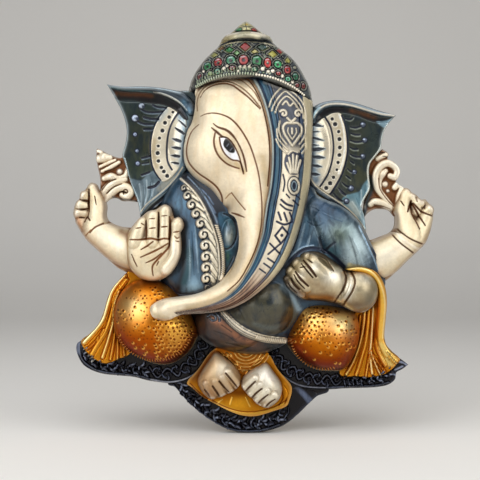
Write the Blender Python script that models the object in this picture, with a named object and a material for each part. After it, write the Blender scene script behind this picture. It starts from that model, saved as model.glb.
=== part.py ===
"""A painted brass wall hanging of Ganesha, cast as one piece: seated figure in relief, hollow behind.

The front view is drawn on a sheet 480 units square, columns to the right and rows downwards. A level is the
distance that the relief stands in front of the wall, and both are turned to metres by the sizes below.
The part stands in its own frame: +Z up, +Y into the wall, origin on the flat back behind the crown.
"""

import math

import bmesh
import bpy
from mathutils import Matrix, Vector
from mathutils.bvhtree import BVHTree

# Driving sizes, in metres
HEIGHT = 0.250
RELIEF_DEPTH = 0.0445
CASTING_WALL = 0.0065
BAR_RADIUS = 0.0025
BAR_SETBACK = 0.0015

# The drawing sheet
TIP_ROW = 22.0
FOOT_ROW = 435.0
CENTRE_COLUMN = 245.0
HANG_ROW = 88.0
FRONT_LEVEL = 74.0
UNIT = HEIGHT / (FOOT_ROW - TIP_ROW)
LEVEL_UNIT = RELIEF_DEPTH / FRONT_LEVEL
SHEET_TO_PART = Matrix.Diagonal((UNIT, LEVEL_UNIT, UNIT, 1.0))
BEHIND = 6.0
CORNER = "corner"
KEPT_SHARE = 0.44


def on_sheet(column, row, level):
    """A point of the drawing as a vector in sheet units, in the part's directions."""
    return Vector((column - CENTRE_COLUMN, -level, HANG_ROW - row))


def smooth(points, per_span, closed):
    """A curve through the points. One marked CORNER keeps a sharp corner."""
    numbers = [Vector([n for n in point if n != CORNER]) for point in points]
    count = len(points)

    def neighbour(i):
        return numbers[i % count] if closed else numbers[min(max(i, 0), count - 1)]

    def tangent(i):
        if CORNER in points[i % count]:
            return numbers[0] * 0.0
        return (neighbour(i + 1) - neighbour(i - 1)) / 2

    found = []
    for i in range(count if closed else count - 1):
        start, end = neighbour(i), neighbour(i + 1)
        leaving, arriving = tangent(i), tangent(i + 1)
        for step in range(per_span):
            t = step / per_span
            found.append(
                start * (2 * t**3 - 3 * t**2 + 1)
                + leaving * (t**3 - 2 * t**2 + t)
                + end * (3 * t**2 - 2 * t**3)
                + arriving * (t**3 - t**2)
            )
    if not closed:
        found.append(numbers[-1])
    return found


def clear_scene():
    for obj in list(bpy.data.objects):
        bpy.data.objects.remove(obj)
    for collection in list(bpy.data.collections):
        bpy.data.collections.remove(collection)


def new_collection(name):
    collection = bpy.data.collections.new(name)
    bpy.context.scene.collection.children.link(collection)
    return collection


def add_helper(name, mesh, collection):
    """Puts a form drawn in sheet units into a collection as a helper. Its object gives it its real size."""
    obj = bpy.data.objects.new(name, mesh)
    obj.matrix_world = SHEET_TO_PART
    collection.objects.link(obj)
    obj.hide_render = True
    obj.display_type = "WIRE"
    return obj


def mesh_from(name, bm):
    bmesh.ops.recalc_face_normals(bm, faces=bm.faces)
    mesh = bpy.data.meshes.new(name)
    bm.to_mesh(mesh)
    bm.free()
    return mesh


def start_level(collection):
    """How far behind the wall plane the next form starts. No two start in one plane, to join cleanly."""
    return -BEHIND - 0.4 * len(collection.objects)


def carry_back(bm, foot):
    """Cuts a round form off at its widest and carries its sides straight back, free of any undercut."""
    bmesh.ops.recalc_face_normals(bm, faces=bm.faces)
    behind = [face for face in bm.faces if face.normal.y > 0.02]
    bmesh.ops.delete(bm, geom=behind, context="FACES")
    rim = [edge for edge in bm.edges if edge.is_boundary]
    made = bmesh.ops.extrude_edge_only(bm, edges=rim)["geom"]
    for item in made:
        if isinstance(item, bmesh.types.BMVert):
            item.co.y = -foot
    bmesh.ops.contextual_create(
        bm, geom=[item for item in made if isinstance(item, bmesh.types.BMEdge)]
    )


def dome(name, outline, edge, peak, centre, collection, rings=4, per_span=2):
    """A pillow over a closed outline: a wall up to level edge, then a quarter ellipse to the peak."""
    bm = bmesh.new()
    foot = start_level(collection)
    rim = [bm.verts.new(on_sheet(p[0], p[1], foot)) for p in smooth(outline, per_span, True)]
    face = bm.faces.new(rim)
    middle = on_sheet(*centre, 0.0)
    level, spread = foot, 1.0
    for ring in range(rings + 1):
        angle = math.pi / 2 * ring / (rings + 0.6)
        wanted = edge + (peak - edge) * math.sin(angle)
        made = bmesh.ops.extrude_face_region(bm, geom=[face])["geom"]
        verts = [item for item in made if isinstance(item, bmesh.types.BMVert)]
        next_face = next(item for item in made if isinstance(item, bmesh.types.BMFace))
        shrink = math.cos(angle) / spread
        bmesh.ops.translate(bm, verts=verts, vec=Vector((0, level - wanted, 0)))
        bmesh.ops.scale(
            bm, verts=verts, vec=(shrink, 1.0, shrink), space=Matrix.Translation(-middle)
        )
        if ring:
            bm.faces.remove(face)
        face, level, spread = next_face, wanted, math.cos(angle)
    return add_helper(name, mesh_from(name, bm), collection)


def evaluated_mesh(obj):
    """The object's shape as a mesh with its loose caps welded. The object is removed."""
    graph = bpy.context.evaluated_depsgraph_get()
    mesh = bpy.data.meshes.new_from_object(obj.evaluated_get(graph))
    curve = obj.data
    bpy.data.objects.remove(obj)
    bpy.data.curves.remove(curve)
    bm = bmesh.new()
    bm.from_mesh(mesh)
    bpy.data.meshes.remove(mesh)
    bmesh.ops.remove_doubles(bm, verts=bm.verts, dist=0.001)
    return bm


def curve_object(name, points, closed):
    """A poly curve through (place, radius) pairs, in sheet units."""
    curve = bpy.data.curves.new(name, "CURVE")
    spline = curve.splines.new("POLY")
    spline.points.add(len(points) - 1)
    for spot, (place, radius) in zip(spline.points, points):
        spot.co = (*place, 1.0)
        spot.radius = radius
    spline.use_cyclic_u = closed
    obj = bpy.data.objects.new(name, curve)
    bpy.context.scene.collection.objects.link(obj)
    return obj


def plate(name, outline, level, round_edge, collection, per_span=2):
    """A flat form cut to an outline, with its front edge rounded."""
    places = [
        (Vector((p[0] - CENTRE_COLUMN, HANG_ROW - p[1], 0.0)), 1.0)
        for p in smooth(outline, per_span, True)
    ]
    obj = curve_object(name, places, True)
    thick = level - start_level(collection)
    obj.data.dimensions = "2D"
    obj.data.fill_mode = "BOTH"
    obj.data.bevel_depth = round_edge
    obj.data.bevel_resolution = 0
    obj.data.offset = -round_edge
    obj.data.extrude = thick / 2 - round_edge
    bm = evaluated_mesh(obj)
    upright = Matrix.Rotation(math.pi / 2, 4, "X")
    bmesh.ops.transform(bm, matrix=upright, verts=bm.verts)
    bmesh.ops.translate(bm, verts=bm.verts, vec=(0, -level + thick / 2, 0))
    return add_helper(name, mesh_from(name, bm), collection)


def tube(name, path, collection, sides=8, per_span=2, cast=True):
    """A round form along (column, row, level, radius) points. One that is cast has no undercut behind it."""
    places = [(on_sheet(*p[:3]), p[3]) for p in smooth(path, per_span, False)]
    obj = curve_object(name, places, False)
    obj.data.dimensions = "3D"
    obj.data.bevel_depth = 1.0
    obj.data.bevel_resolution = sides // 2 - 2
    obj.data.use_fill_caps = True
    bm = evaluated_mesh(obj)
    if cast:
        carry_back(bm, start_level(collection))
    return add_helper(name, mesh_from(name, bm), collection)


def ball(name, centre, radii, collection, segments=12, rings=8, cast=True):
    """An ellipsoid: centre is (column, row, level), radii (across, up, forwards)."""
    bm = bmesh.new()
    bmesh.ops.create_uvsphere(bm, u_segments=segments, v_segments=rings, radius=1.0)
    across, up, forwards = radii
    bmesh.ops.scale(bm, verts=bm.verts, vec=(across, forwards, up))
    bmesh.ops.translate(bm, verts=bm.verts, vec=on_sheet(*centre))
    if cast:
        carry_back(bm, start_level(collection))
    return add_helper(name, mesh_from(name, bm), collection)


def stud(name, centre, size, rise, collection):
    """A cut stone: a four-sided pyramid with its base sunk in the surface."""
    bm = bmesh.new()
    bmesh.ops.create_cone(
        bm, cap_ends=True, segments=4, radius1=size, radius2=size * 0.35, depth=rise * 2
    )
    facing = Matrix.Rotation(math.pi / 2, 4, "X")
    bmesh.ops.transform(bm, matrix=facing, verts=bm.verts)
    bmesh.ops.translate(bm, verts=bm.verts, vec=on_sheet(*centre))
    return add_helper(name, mesh_from(name, bm), collection)


class Surface:
    """The front of the masses modelled so far, for laying carving on."""

    def __init__(self, collection):
        self.trees = []
        for obj in collection.objects:
            bm = bmesh.new()
            bm.from_mesh(obj.data)
            self.trees.append(BVHTree.FromBMesh(bm))
            bm.free()

    def level(self, column, row):
        start = on_sheet(column, row, 3 * FRONT_LEVEL)
        hits = [tree.ray_cast(start, Vector((0, 1, 0)))[0] for tree in self.trees]
        return max((-hit.y for hit in hits if hit), default=0.0)


def laid(name, line, radius, proud, surface, collection, sides=4, per_span=2, taper=1.0):
    """A raised line of carving that follows the surface, standing proud of it."""
    places = smooth([(*p[:2],) for p in line], per_span, False)
    last = len(places) - 1
    path = []
    for i, p in enumerate(places):
        size = radius * (1 + (taper - 1) * i / last)
        path.append((p[0], p[1], surface.level(p[0], p[1]) + proud - size, size))
    return tube(name, path, collection, sides=sides, per_span=1, cast=False)


# Outlines of the masses, as (column, row) on the sheet
CROWN = [
    (234, 38), (222, 43), (212, 53.5), (200, 66), (191, 83), (188, 93, CORNER), (215, 92), (245, 89),
    (275, 94), (298, 103), (314, 106, CORNER), (309, 88), (302, 72), (291, 58), (277, 47.5), (260, 38),
]  # fmt: skip
HEAD = [
    (196, 92), (218, 80), (246, 76), (278, 82), (300, 92), (311, 106), (311, 145), (309, 182), (302, 214),
    (270, 232), (240, 224), (222, 209), (216, 195), (205, 185.5), (191, 174.5), (184, 157), (186, 138),
    (194, 121), (195, 105),
]  # fmt: skip
TORSO = [
    (180, 178), (200, 168), (300, 178), (325, 198), (345, 211), (360, 226), (369, 245), (378, 264),
    (385, 283), (372, 304), (330, 320), (286, 342), (264, 353), (240, 353), (213, 345), (198, 331),
    (188, 310), (176, 292), (170, 270), (166, 240), (160, 215), (166, 194),
]  # fmt: skip
LEFT_EAR = [
    (107, 84.5, CORNER), (122, 86.5), (140, 86), (158, 87), (175, 90), (196, 94), (202, 130), (190, 165),
    (180, 180), (168, 195), (153, 208), (140, 219, CORNER), (137, 200), (132, 188), (128, 176),
    (123.5, 163), (121.5, 155), (124.5, 143), (126, 131), (124, 119), (120, 108), (114, 97),
]  # fmt: skip
RIGHT_EAR = [
    (312, 107), (319, 103.5), (328, 100.5), (340, 99.5), (352, 101), (365, 104.8), (380, 110),
    (396, 115, CORNER), (390, 122.5), (385, 131), (382.5, 141), (381.5, 149), (376, 156.5), (371, 164),
    (370, 176), (371, 188), (366, 198), (362.5, 206), (365, 216), (366.5, 228), (368, 244, CORNER),
    (357, 226), (346, 213), (334, 203), (320, 194), (308, 182), (300, 165), (298, 130),
]  # fmt: skip
PALM = [
    (130, 238), (138, 233), (150, 235), (163, 235), (175, 231), (181, 236), (181.5, 247), (179.5, 260),
    (171, 272), (160, 279), (148, 280), (138, 275), (130.5, 266), (127.5, 254), (127, 245),
]  # fmt: skip
RESTING_HAND = [
    (283, 279), (288, 267), (297, 257), (308, 252), (320, 253.5), (332, 261), (345, 270), (348, 286),
    (342, 303), (326, 300), (310, 299), (298, 295.5), (287, 287),
]  # fmt: skip
LEFT_KNEE = [
    (130, 283), (145, 279), (160, 281.5), (172, 287), (182, 298), (190, 311), (197, 324), (198, 335),
    (193, 347), (184, 357), (170, 364.5), (155, 364), (140, 358), (126, 350), (117, 340), (113.5, 325),
    (114, 308), (120, 293),
]  # fmt: skip
RIGHT_KNEE = [
    (301, 303), (315, 300), (331, 302), (347, 308), (357, 316), (360, 330), (358, 345), (353, 358),
    (344, 370), (330, 371), (314, 369), (300, 360), (290, 349.5), (286, 340), (289, 327), (295, 314),
]  # fmt: skip
LEFT_DRAPE = [
    (127, 272, CORNER), (118, 280.5), (111, 289), (106, 300), (102.5, 313), (97, 325), (89, 334),
    (81, 341), (84, 351), (92, 359), (104, 364), (118, 360), (130, 352), (124, 330), (124, 300), (134, 283),
]  # fmt: skip
RIGHT_DRAPE = [
    (344, 269), (354, 266.5), (364, 267), (373, 271), (380, 278.5), (385, 290), (387, 305), (386, 322),
    (385, 336), (387, 345), (393, 352), (401, 360), (396, 367), (388, 374), (374, 378), (358, 377),
    (340, 373), (346, 350), (350, 320), (364, 308), (370, 290), (366, 277), (354, 271),
]  # fmt: skip
LEFT_HEM = [
    (81, 341, CORNER), (75.5, 344.5), (74.5, 351), (77, 359), (82, 366.5), (91, 372), (103, 375.5),
    (118, 377), (133, 378.5), (147, 382), (160, 384), (172, 385), (184, 382.5), (195, 376.5), (204, 367),
    (211, 355), (213, 345), (200, 330), (150, 330), (104, 345),
]  # fmt: skip
RIGHT_HEM = [
    (262, 350), (269, 361), (277, 371.5), (286, 380.5), (298, 387.5), (312, 390.5), (328, 391),
    (344, 390), (360, 389.4), (376, 388.8), (389, 386.5), (396.5, 381), (398, 374), (404, 370.5),
    (410, 366, CORNER), (401, 359.5), (380, 350), (330, 340), (286, 335),
]  # fmt: skip
LOWER_HEM = [
    (170, 382), (175, 389), (181, 396.5), (190, 406), (201, 415.5), (213, 424), (226, 431), (240, 434.7),
    (254, 434.8), (268, 433), (281, 429), (290, 423.5), (300, 415), (309, 406), (318, 398), (330, 391.5),
    (312, 370), (260, 340), (200, 345),
]  # fmt: skip
FOOT_CLOTH = [
    (190, 382), (200, 370), (216, 350), (240, 346), (264, 352), (276, 370), (292, 386), (289, 401),
    (286, 407), (272, 412), (256, 416), (240, 416), (228, 411), (214, 404), (202, 397),
]  # fmt: skip
LEFT_FOOT = [
    (216, 352), (226, 358.5), (234, 365.5), (240, 374), (241, 382), (236, 389), (226, 394), (216, 398.5),
    (208, 397), (201, 390), (198, 380), (203, 369), (210, 359),
]  # fmt: skip
RIGHT_FOOT = [
    (252, 371), (260, 366), (267, 363.5), (273, 371), (281, 382.5), (281, 392), (277, 401), (269, 406.5),
    (260, 405), (252, 398), (245, 391), (241, 383), (244, 376),
]  # fmt: skip

CONCH_BACK = [
    (95.5, 147, CORNER), (103, 151), (111, 155), (118, 157), (126, 157), (132, 172), (137, 188),
    (139, 202, CORNER), (128, 200.5), (121, 200.5), (116, 198), (111, 197.5), (106, 200),
    (101, 204, CORNER), (100, 190), (99.5, 178), (97, 167), (95.3, 156),
]  # fmt: skip
LOTUS_BACK = [
    (384, 148, CORNER), (390, 153), (389, 158.5), (395, 162), (400.5, 169), (400, 176), (397, 181),
    (399, 184), (405, 189), (406, 202), (402, 212), (396, 214, CORNER), (391, 210), (384, 208.5),
    (376, 209), (369, 213), (364, 220, CORNER), (366, 200), (370, 188), (369, 176), (370, 164), (376, 156),
]  # fmt: skip

# Centre lines of the round forms, as (column, row, level, radius)
TRUNK = [
    (258, 108, 20, 36), (262, 150, 20, 46), (265, 185, 26, 42), (265, 215, 33, 37.5), (264, 240, 42, 30),
    (257, 264, 49, 23.5), (243, 283, 55, 17.5), (224, 294.5, 59, 13.5), (203, 301, 62, 10),
    (184, 303.5, 63, 8), (170, 307, 61.5, 10), (158, 309.5, 59, 6),
]  # fmt: skip
LEFT_FOREARM = [
    (142, 253, 20, 19), (126, 248, 19, 19), (108, 239, 17, 17), (94, 227.5, 16, 16.5),
    (88, 215, 16, 15), (90, 203, 15, 12), (93, 192, 14, 8),
]  # fmt: skip
RIGHT_FOREARM = [
    (362, 264, 18, 19), (384, 257, 18, 19.5), (400, 246, 17, 17.5), (410, 235, 17, 16.5),
    (418, 221, 17, 16), (416, 209, 16, 14), (409, 199, 14, 10),
]  # fmt: skip
CONCH = [
    [(96.5, 149, 12, 1), (101, 151, 13, 3)],
    [(98, 156, 13, 3), (103, 154.5, 14, 3.6), (108, 154, 12, 2)],
    [(99, 163, 13, 3.6), (106, 160, 15, 4.6), (113, 159, 13, 2.6)],
    [(101, 170.5, 13, 2.4), (109, 166.5, 15, 3), (117, 162, 13, 2)],
    [(103, 178, 12, 3), (110, 176, 14, 4), (118, 178.5, 13, 3), (125, 175, 12, 2.6), (126, 168, 11, 2)],
    [(101, 195, 12, 4), (107, 187, 14, 4.2), (115, 182, 14, 4), (124, 179, 12, 3)],
    [(104, 198, 12, 3.4), (111, 192, 14, 4), (118, 187.5, 14, 4), (125, 187, 14, 4.4),
     (129.5, 191.5, 13, 4.2), (126, 196, 13, 3.8), (121, 194.5, 13, 3)],
]  # fmt: skip
LOTUS = [
    [(394, 206, 13, 4), (386, 197, 14, 4.2), (378.5, 187, 14, 4.4), (377, 175, 14, 4.4),
     (381.5, 165.5, 14, 4.2), (388.5, 162, 14, 4), (395, 164.5, 14, 4.2), (398.5, 171, 13, 3.4)],
    [(398, 178, 13, 2.6), (392.5, 176.5, 15, 4), (388.5, 173, 14, 3), (385, 178, 13, 2.4)],
    [(383, 184, 13, 3.4), (389, 189, 13, 3.4), (395, 188, 14, 4), (399, 193, 14, 4)],
    [(392, 207, 12, 3.6), (384, 203, 13, 3.6), (376, 201.5, 13, 3.6), (371.5, 204, 12, 3)],
    [(379, 158, 11, 2.6), (387, 154, 12, 2.2)],
]  # fmt: skip
SHOULDER = [(316, 214, 20, 20), (338, 234, 24, 27), (358, 262, 22, 24), (366, 280, 18, 18)]
DRAPE_SWAG = [
    (345, 269.5, 50, 3), (358, 268.5, 46, 4), (370, 273, 41, 4.6), (378, 283, 33, 5), (381.5, 298, 26, 5),
    (381.5, 318, 20, 5), (381, 338, 18, 5), (386, 352, 16, 5.5), (395, 361, 13, 5),
]  # fmt: skip

# Fingers and toes, as (column, row, level, radius) from root to tip
FINGERS = [
    [(137, 241, 40, 7), (140, 231, 40, 6.4), (144.5, 223, 39, 5)],
    [(154.5, 242, 44, 5.6), (154.5, 225, 43.5, 5.4), (155.5, 215.5, 42, 4.8)],
    [(165, 242, 44, 5.2), (165, 224, 43.5, 5), (167, 210, 42, 4.8)],
    [(168, 268, 42, 7), (176, 256, 44, 6), (176.5, 242, 44, 5.4), (177, 234, 44, 4.6), (178, 224, 44, 5.6),
     (178, 221, 44, 4.4)],
    [(323, 271, 52, 6.5), (312, 260, 51, 6.2), (306, 256, 48, 4.5)],
    [(313, 279, 54, 6.5), (301, 268, 52, 6.2), (295, 263, 48, 4.5)],
    [(305, 286, 53, 6), (294, 275, 50, 5.8), (289, 270, 47, 4.5)],
    [(300, 292, 50, 5), (291, 283, 48, 5), (286, 278, 45, 4)],
    [(99, 213, 16, 6), (97, 199, 17, 6), (91, 187, 16, 5)],
    [(404, 216, 17, 6), (404, 202, 17, 6), (405, 192, 15, 4.4)],
    [(412, 212, 17, 5), (413, 198, 16, 5)],
]  # fmt: skip
KNUCKLES = [
    (83.5, 195, 17, 5.4), (79, 204, 17, 5.6), (76.5, 213, 17, 5),
    (422, 203, 17, 5.4), (430, 208, 17, 5.4),
]  # fmt: skip
TOES = [
    [(228, 371, 34, 4.5), (238, 384, 30, 4)],
    [(222, 376, 34, 4), (231.5, 389, 30, 3.6)],
    [(215, 380, 33, 4), (223, 393, 29, 3.6)],
    [(207, 382, 31, 4), (214, 396, 27, 3.4)],
    [(254, 377, 35, 4.2), (244, 386, 31, 4)],
    [(259, 383, 36, 4), (250, 393, 31, 3.6)],
    [(266, 389, 36, 4), (256, 399, 31, 3.6)],
    [(273, 394, 35, 4), (264, 403, 30, 3.4)],
]  # fmt: skip

# Lines of carving laid on the masses, as (column, row)
CROWN_RIM = [
    (190, 92), (200, 87.5), (214, 83.2), (230, 80.6), (248, 80.4), (266, 83), (283, 88.6), (298, 96),
    (311, 105),
]  # fmt: skip
COLLAR = [(183, 180), (196, 197), (208, 219), (214, 242), (215, 264), (212, 286)]
COLLAR_CURLS = 10
CURL_SIZE = 5.2
BELT = [(225, 311), (234, 322), (247, 331.5), (262, 337.5), (275, 340), (285, 340)]
VEIL_EDGE = [
    (308, 112), (308, 150), (306.5, 180), (301, 210), (291, 238), (279, 261), (264, 280), (246, 293.5),
    (226, 303), (200, 309),
]  # fmt: skip
VEIL_SEAM = [
    (256, 88), (264, 108), (269, 132), (271, 160), (269, 190), (265, 220), (257, 248), (243, 272),
    (226, 288), (205, 298),
]  # fmt: skip
EAR_LINES = [
    [(166, 108), (155, 124), (150.5, 144), (152, 164), (160, 179)],
    [(177, 110), (168, 126), (165.5, 145), (167, 162), (172, 170)],
    [(325, 116), (332, 133), (333.5, 150), (329.5, 170), (321, 185)],
    [(341, 115), (347, 132), (348, 150), (343.5, 172), (331, 193)],
]  # fmt: skip
UPPER_EAR_ROLLS = [
    [(108, 85.5), (124, 89), (142, 90), (158, 92.5), (173, 98.5), (187, 109)],
    [(314, 110), (322, 105.5), (334, 103.5), (350, 104.5), (366, 109), (394, 115.5)],
]
LOWER_EAR_ROLLS = [
    [(182, 172), (174, 185), (162, 197), (150, 207), (142, 215)],
    [(310, 184), (322, 193), (336, 202.5), (348, 212), (358, 224), (365, 239)],
]
KNEE_RIMS = [
    [(124, 350), (140, 359), (155, 365), (170, 366), (183, 360), (193, 350), (199, 338)],
    [(286, 342), (296, 356), (308, 366), (324, 371), (338, 372), (349, 366)],
]
BROW = [(200, 119), (214, 116.5), (229, 121.5), (242, 133), (251, 148), (257, 168), (260, 192)]
UPPER_LID = [(211, 128), (226, 133), (238, 144), (243, 158), (246, 172)]
LOWER_LID = [(215, 136), (215, 149), (222, 161), (232, 167), (241, 168)]
BANGLE = [(346, 270), (349, 280), (346, 292), (339, 302)]
WRIST_RINGS = [[(392, 232), (403, 243), (415, 251)], [(397, 228), (410, 238), (424, 243)]]
LEFT_PLEATS = [
    [(123, 278), (110, 298), (104, 320), (87, 343)],
    [(126, 282), (114, 303), (108, 326), (96, 353)],
    [(122, 296), (114, 318), (112, 336), (106, 359)],
    [(119, 330), (119, 342), (119, 356)],
]
RIGHT_PLEATS = [
    [(374, 300), (370, 325), (362, 350), (351, 373)],
    [(376, 300), (373, 325), (368, 350), (361, 375)],
    [(378, 300), (376, 325), (374, 350), (373, 375)],
    [(380, 330), (380, 350), (384, 372)],
]
HEM_LINES = [
    [(80, 350), (92, 366), (112, 370.5), (138, 372), (166, 377), (190, 370), (205, 350)],
    [(184, 393), (204, 409), (226, 423), (246, 427.5), (266, 424), (286, 414)],
    [(272, 357), (286, 371), (306, 382), (330, 383), (358, 383), (386, 381), (402, 367)],
]
HEM_WAVES = 24
HEM_WAVE_HEIGHT = 3.0
VEIL_RING = (291.5, 187.0, 8.0)
VEIL_SPIRALS = [(282, 117, 6.0), (296, 118, 5.5)]
CROWN_STONES = {
    "upper": (51.0, 15.0, 5, 6.0),
    "middle": (60.5, 13.0, 7, 5.0),
    "lower": (69.5, 12.0, 9, 4.4),
}
CROWN_MIDDLE = 247.0
CROWN_ARCH = 0.0055

# Hollows behind the masses, as (column, row, half width, half height, level of the front there)
HOLLOWS = {
    "head_hollow": (246, 152, 40, 46, 61),
    "belly_hollow": (262, 278, 46, 46, 54),
    "left_knee_hollow": (156, 323, 27, 27, 57),
    "right_knee_hollow": (322, 337, 24, 24, 57),
}
BAR_ROW = 122.0


def make_masses(masses):
    """The big forms of the figure, from the ears at the back to the trunk at the front."""
    plate("left_ear", LEFT_EAR, 15.0, 2, masses)
    plate("right_ear", RIGHT_EAR, 15.4, 2, masses)
    plate("left_hem", LEFT_HEM, 13.6, 2, masses)
    plate("right_hem", RIGHT_HEM, 14.4, 2, masses)
    plate("lower_hem", LOWER_HEM, 12.8, 2, masses)
    plate("left_drape", LEFT_DRAPE, 17.0, 2, masses)
    plate("right_drape", RIGHT_DRAPE, 17.6, 2, masses)
    plate("foot_cloth", FOOT_CLOTH, 19.2, 1.5, masses)
    dome("torso", TORSO, 17.2, 50, (262, 262), masses)
    ball("belly", (262, 303, 14), (38, 38, 42), masses, 16, 10)
    ball("lower_belly", (236, 318, 10), (44, 32, 40), masses, 16, 10)
    ball("chest", (229, 234, 34), (11, 17, 20), masses)
    ball("left_ear_root", (186, 140, 8), (22, 36, 18), masses)
    ball("right_ear_root", (310, 150, 8), (24, 40, 18), masses)
    tube("shoulder", SHOULDER, masses, sides=12)
    tube("left_forearm", LEFT_FOREARM, masses, sides=12)
    tube("right_forearm", RIGHT_FOREARM, masses, sides=12)
    dome("left_knee", LEFT_KNEE, 15.6, 57, (156, 322), masses, per_span=1, rings=5)
    dome("right_knee", RIGHT_KNEE, 16.4, 57, (322, 336), masses, per_span=1, rings=5)
    dome("crown", CROWN, 20, 57, (248, 74), masses)
    ball("crown_bulge", (247, 41, 14), (25, 8.5, 34), masses, 16, 8)
    tube(
        "finial",
        [(246, 38, 22, 17), (246, 31, 24, 13), (246, 29, 24, 10), (246, 24.5, 24, 5), (246, 22, 24, 1.5)],
        masses,
        sides=12,
        per_span=1,
    )
    dome("head", HEAD, 30, 62, (244, 150), masses)
    tube("trunk", TRUNK, masses, sides=16)
    dome("left_foot", LEFT_FOOT, 20, 36, (218, 374), masses, per_span=1, rings=3)
    dome("right_foot", RIGHT_FOOT, 20, 38, (262, 385), masses, per_span=1, rings=3)
    dome("palm", PALM, 34, 49, (155, 250), masses, per_span=1, rings=3)
    dome("resting_hand", RESTING_HAND, 38, 61, (317, 278), masses, per_span=1, rings=4)
    ball("resting_wrist", (355, 289.5, 36), (21, 21, 22), masses, 14, 8)
    plate("conch_back", CONCH_BACK, 11, 1.5, masses)
    plate("lotus_back", LOTUS_BACK, 11, 1.5, masses)


def make_limbs(carving):
    """Fingers, knuckles and toes, and what the raised hands hold."""
    for i, path in enumerate(FINGERS):
        tube(f"finger_{i}", path, carving, sides=8, per_span=1)
    for i, (column, row, level, radius) in enumerate(KNUCKLES):
        ball(f"knuckle_{i}", (column, row, level), (radius, radius, radius), carving, 8, 6)
    for i, path in enumerate(TOES):
        tube(f"toe_{i}", path, carving, sides=6, per_span=1, cast=False)
    for i, path in enumerate(CONCH + LOTUS):
        tube(f"scroll_{i}", path, carving, sides=6, per_span=1, cast=False)


def spiral(centre, size, turns, start, steps):
    """Points of a flat spiral that winds in to its centre."""
    found = []
    for i in range(steps + 1):
        share = i / steps
        angle = start + share * turns * 2 * math.pi
        reach = size * (1 - 0.8 * share)
        found.append((centre[0] + reach * math.cos(angle), centre[1] + reach * math.sin(angle)))
    return found


def along(line, share):
    """(column, row, angle) at a share of the way along a line of points."""
    places = smooth([(*p[:2],) for p in line], 8, False)
    spot = share * (len(places) - 1)
    i = min(int(spot), len(places) - 2)
    here = places[i].lerp(places[i + 1], spot - i)
    way = places[i + 1] - places[i]
    return here[0], here[1], math.atan2(way[1], way[0])


def make_carving(surface, carving):
    """The carving that follows the masses: crown, ear, collar, veil, belt, pleats and hems."""
    laid("crown_rim", CROWN_RIM, 3.4, 2.4, surface, carving, sides=6, per_span=1)
    for name, (row, pitch, count, size) in CROWN_STONES.items():
        for i in range(count):
            column = CROWN_MIDDLE + (i - (count - 1) / 2) * pitch
            sunk = row + CROWN_ARCH * (column - CROWN_MIDDLE) ** 2
            level = surface.level(column, sunk)
            stud(f"{name}_stone_{i}", (column, sunk, level), size, 2.4, carving)
    for i, line in enumerate(UPPER_EAR_ROLLS):
        laid(f"upper_ear_roll_{i}", line, 4.4, 8, surface, carving, sides=8, per_span=1)
    for i, line in enumerate(LOWER_EAR_ROLLS):
        laid(f"lower_ear_roll_{i}", line, 3.2, 4.5, surface, carving, sides=6, per_span=1)
    for i, line in enumerate(EAR_LINES):
        laid(f"ear_line_{i}", line, 1.4, 1.2, surface, carving, per_span=1)
    laid("collar", COLLAR, 4.5, 2.5, surface, carving, sides=6)
    for i in range(COLLAR_CURLS):
        column, row, angle = along(COLLAR, (i + 0.5) / COLLAR_CURLS)
        centre = (column - 9.5 * abs(math.sin(angle)), row + 9.5 * math.cos(angle) * 0.6)
        curl = spiral(centre, CURL_SIZE, 0.85, -0.4, 6)
        laid(f"curl_{i}", curl, 1.7, 2.0, surface, carving, per_span=1)
    laid("belt", BELT, 3.2, 2.4, surface, carving, sides=6, per_span=1)
    laid("veil_edge", VEIL_EDGE, 3.0, 1.8, surface, carving, sides=6, per_span=1, taper=0.6)
    laid("veil_seam", VEIL_SEAM, 2.0, 1.4, surface, carving, per_span=1, taper=0.6)
    laid("brow", BROW, 1.3, 1.0, surface, carving, per_span=1)
    laid("upper_lid", UPPER_LID, 1.6, 1.4, surface, carving, per_span=1)
    laid("lower_lid", LOWER_LID, 1.4, 1.2, surface, carving, per_span=1)
    laid("bangle", BANGLE, 4.2, 1.4, surface, carving, sides=6, per_span=1)
    for i, line in enumerate(WRIST_RINGS):
        laid(f"wrist_ring_{i}", line, 2.2, 1.4, surface, carving, per_span=1)
    for i, line in enumerate(LEFT_PLEATS + RIGHT_PLEATS):
        laid(f"pleat_{i}", line, 2.2, 3.4, surface, carving, per_span=1, taper=1.8)
    for i, line in enumerate(KNEE_RIMS):
        laid(f"knee_rim_{i}", line, 2.0, 2.2, surface, carving, per_span=1)
    tube("drape_swag", DRAPE_SWAG, carving, sides=8, per_span=1)
    ring_column, ring_row, ring_radius = VEIL_RING
    around = [
        (ring_column + ring_radius * 0.8 * math.cos(a), ring_row + ring_radius * math.sin(a))
        for a in (k * math.pi / 5 for k in range(11))
    ]
    laid("veil_ring", around, 1.4, 1.2, surface, carving, per_span=1)
    for i, (column, row, size) in enumerate(VEIL_SPIRALS):
        curl = spiral((column, row), size, 1, 0, 7)
        laid(f"veil_spiral_{i}", curl, 1.4, 1.2, surface, carving, per_span=1)
    for i, line in enumerate(HEM_LINES):
        wave = []
        for step in range(HEM_WAVES + 1):
            column, row, angle = along(line, step / HEM_WAVES)
            lift = HEM_WAVE_HEIGHT * math.sin(step * math.pi / 2)
            wave.append((column - lift * math.sin(angle), row + lift * math.cos(angle)))
        laid(f"hem_scroll_{i}", wave, 1.8, 1.5, surface, carving, per_span=1)


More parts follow.
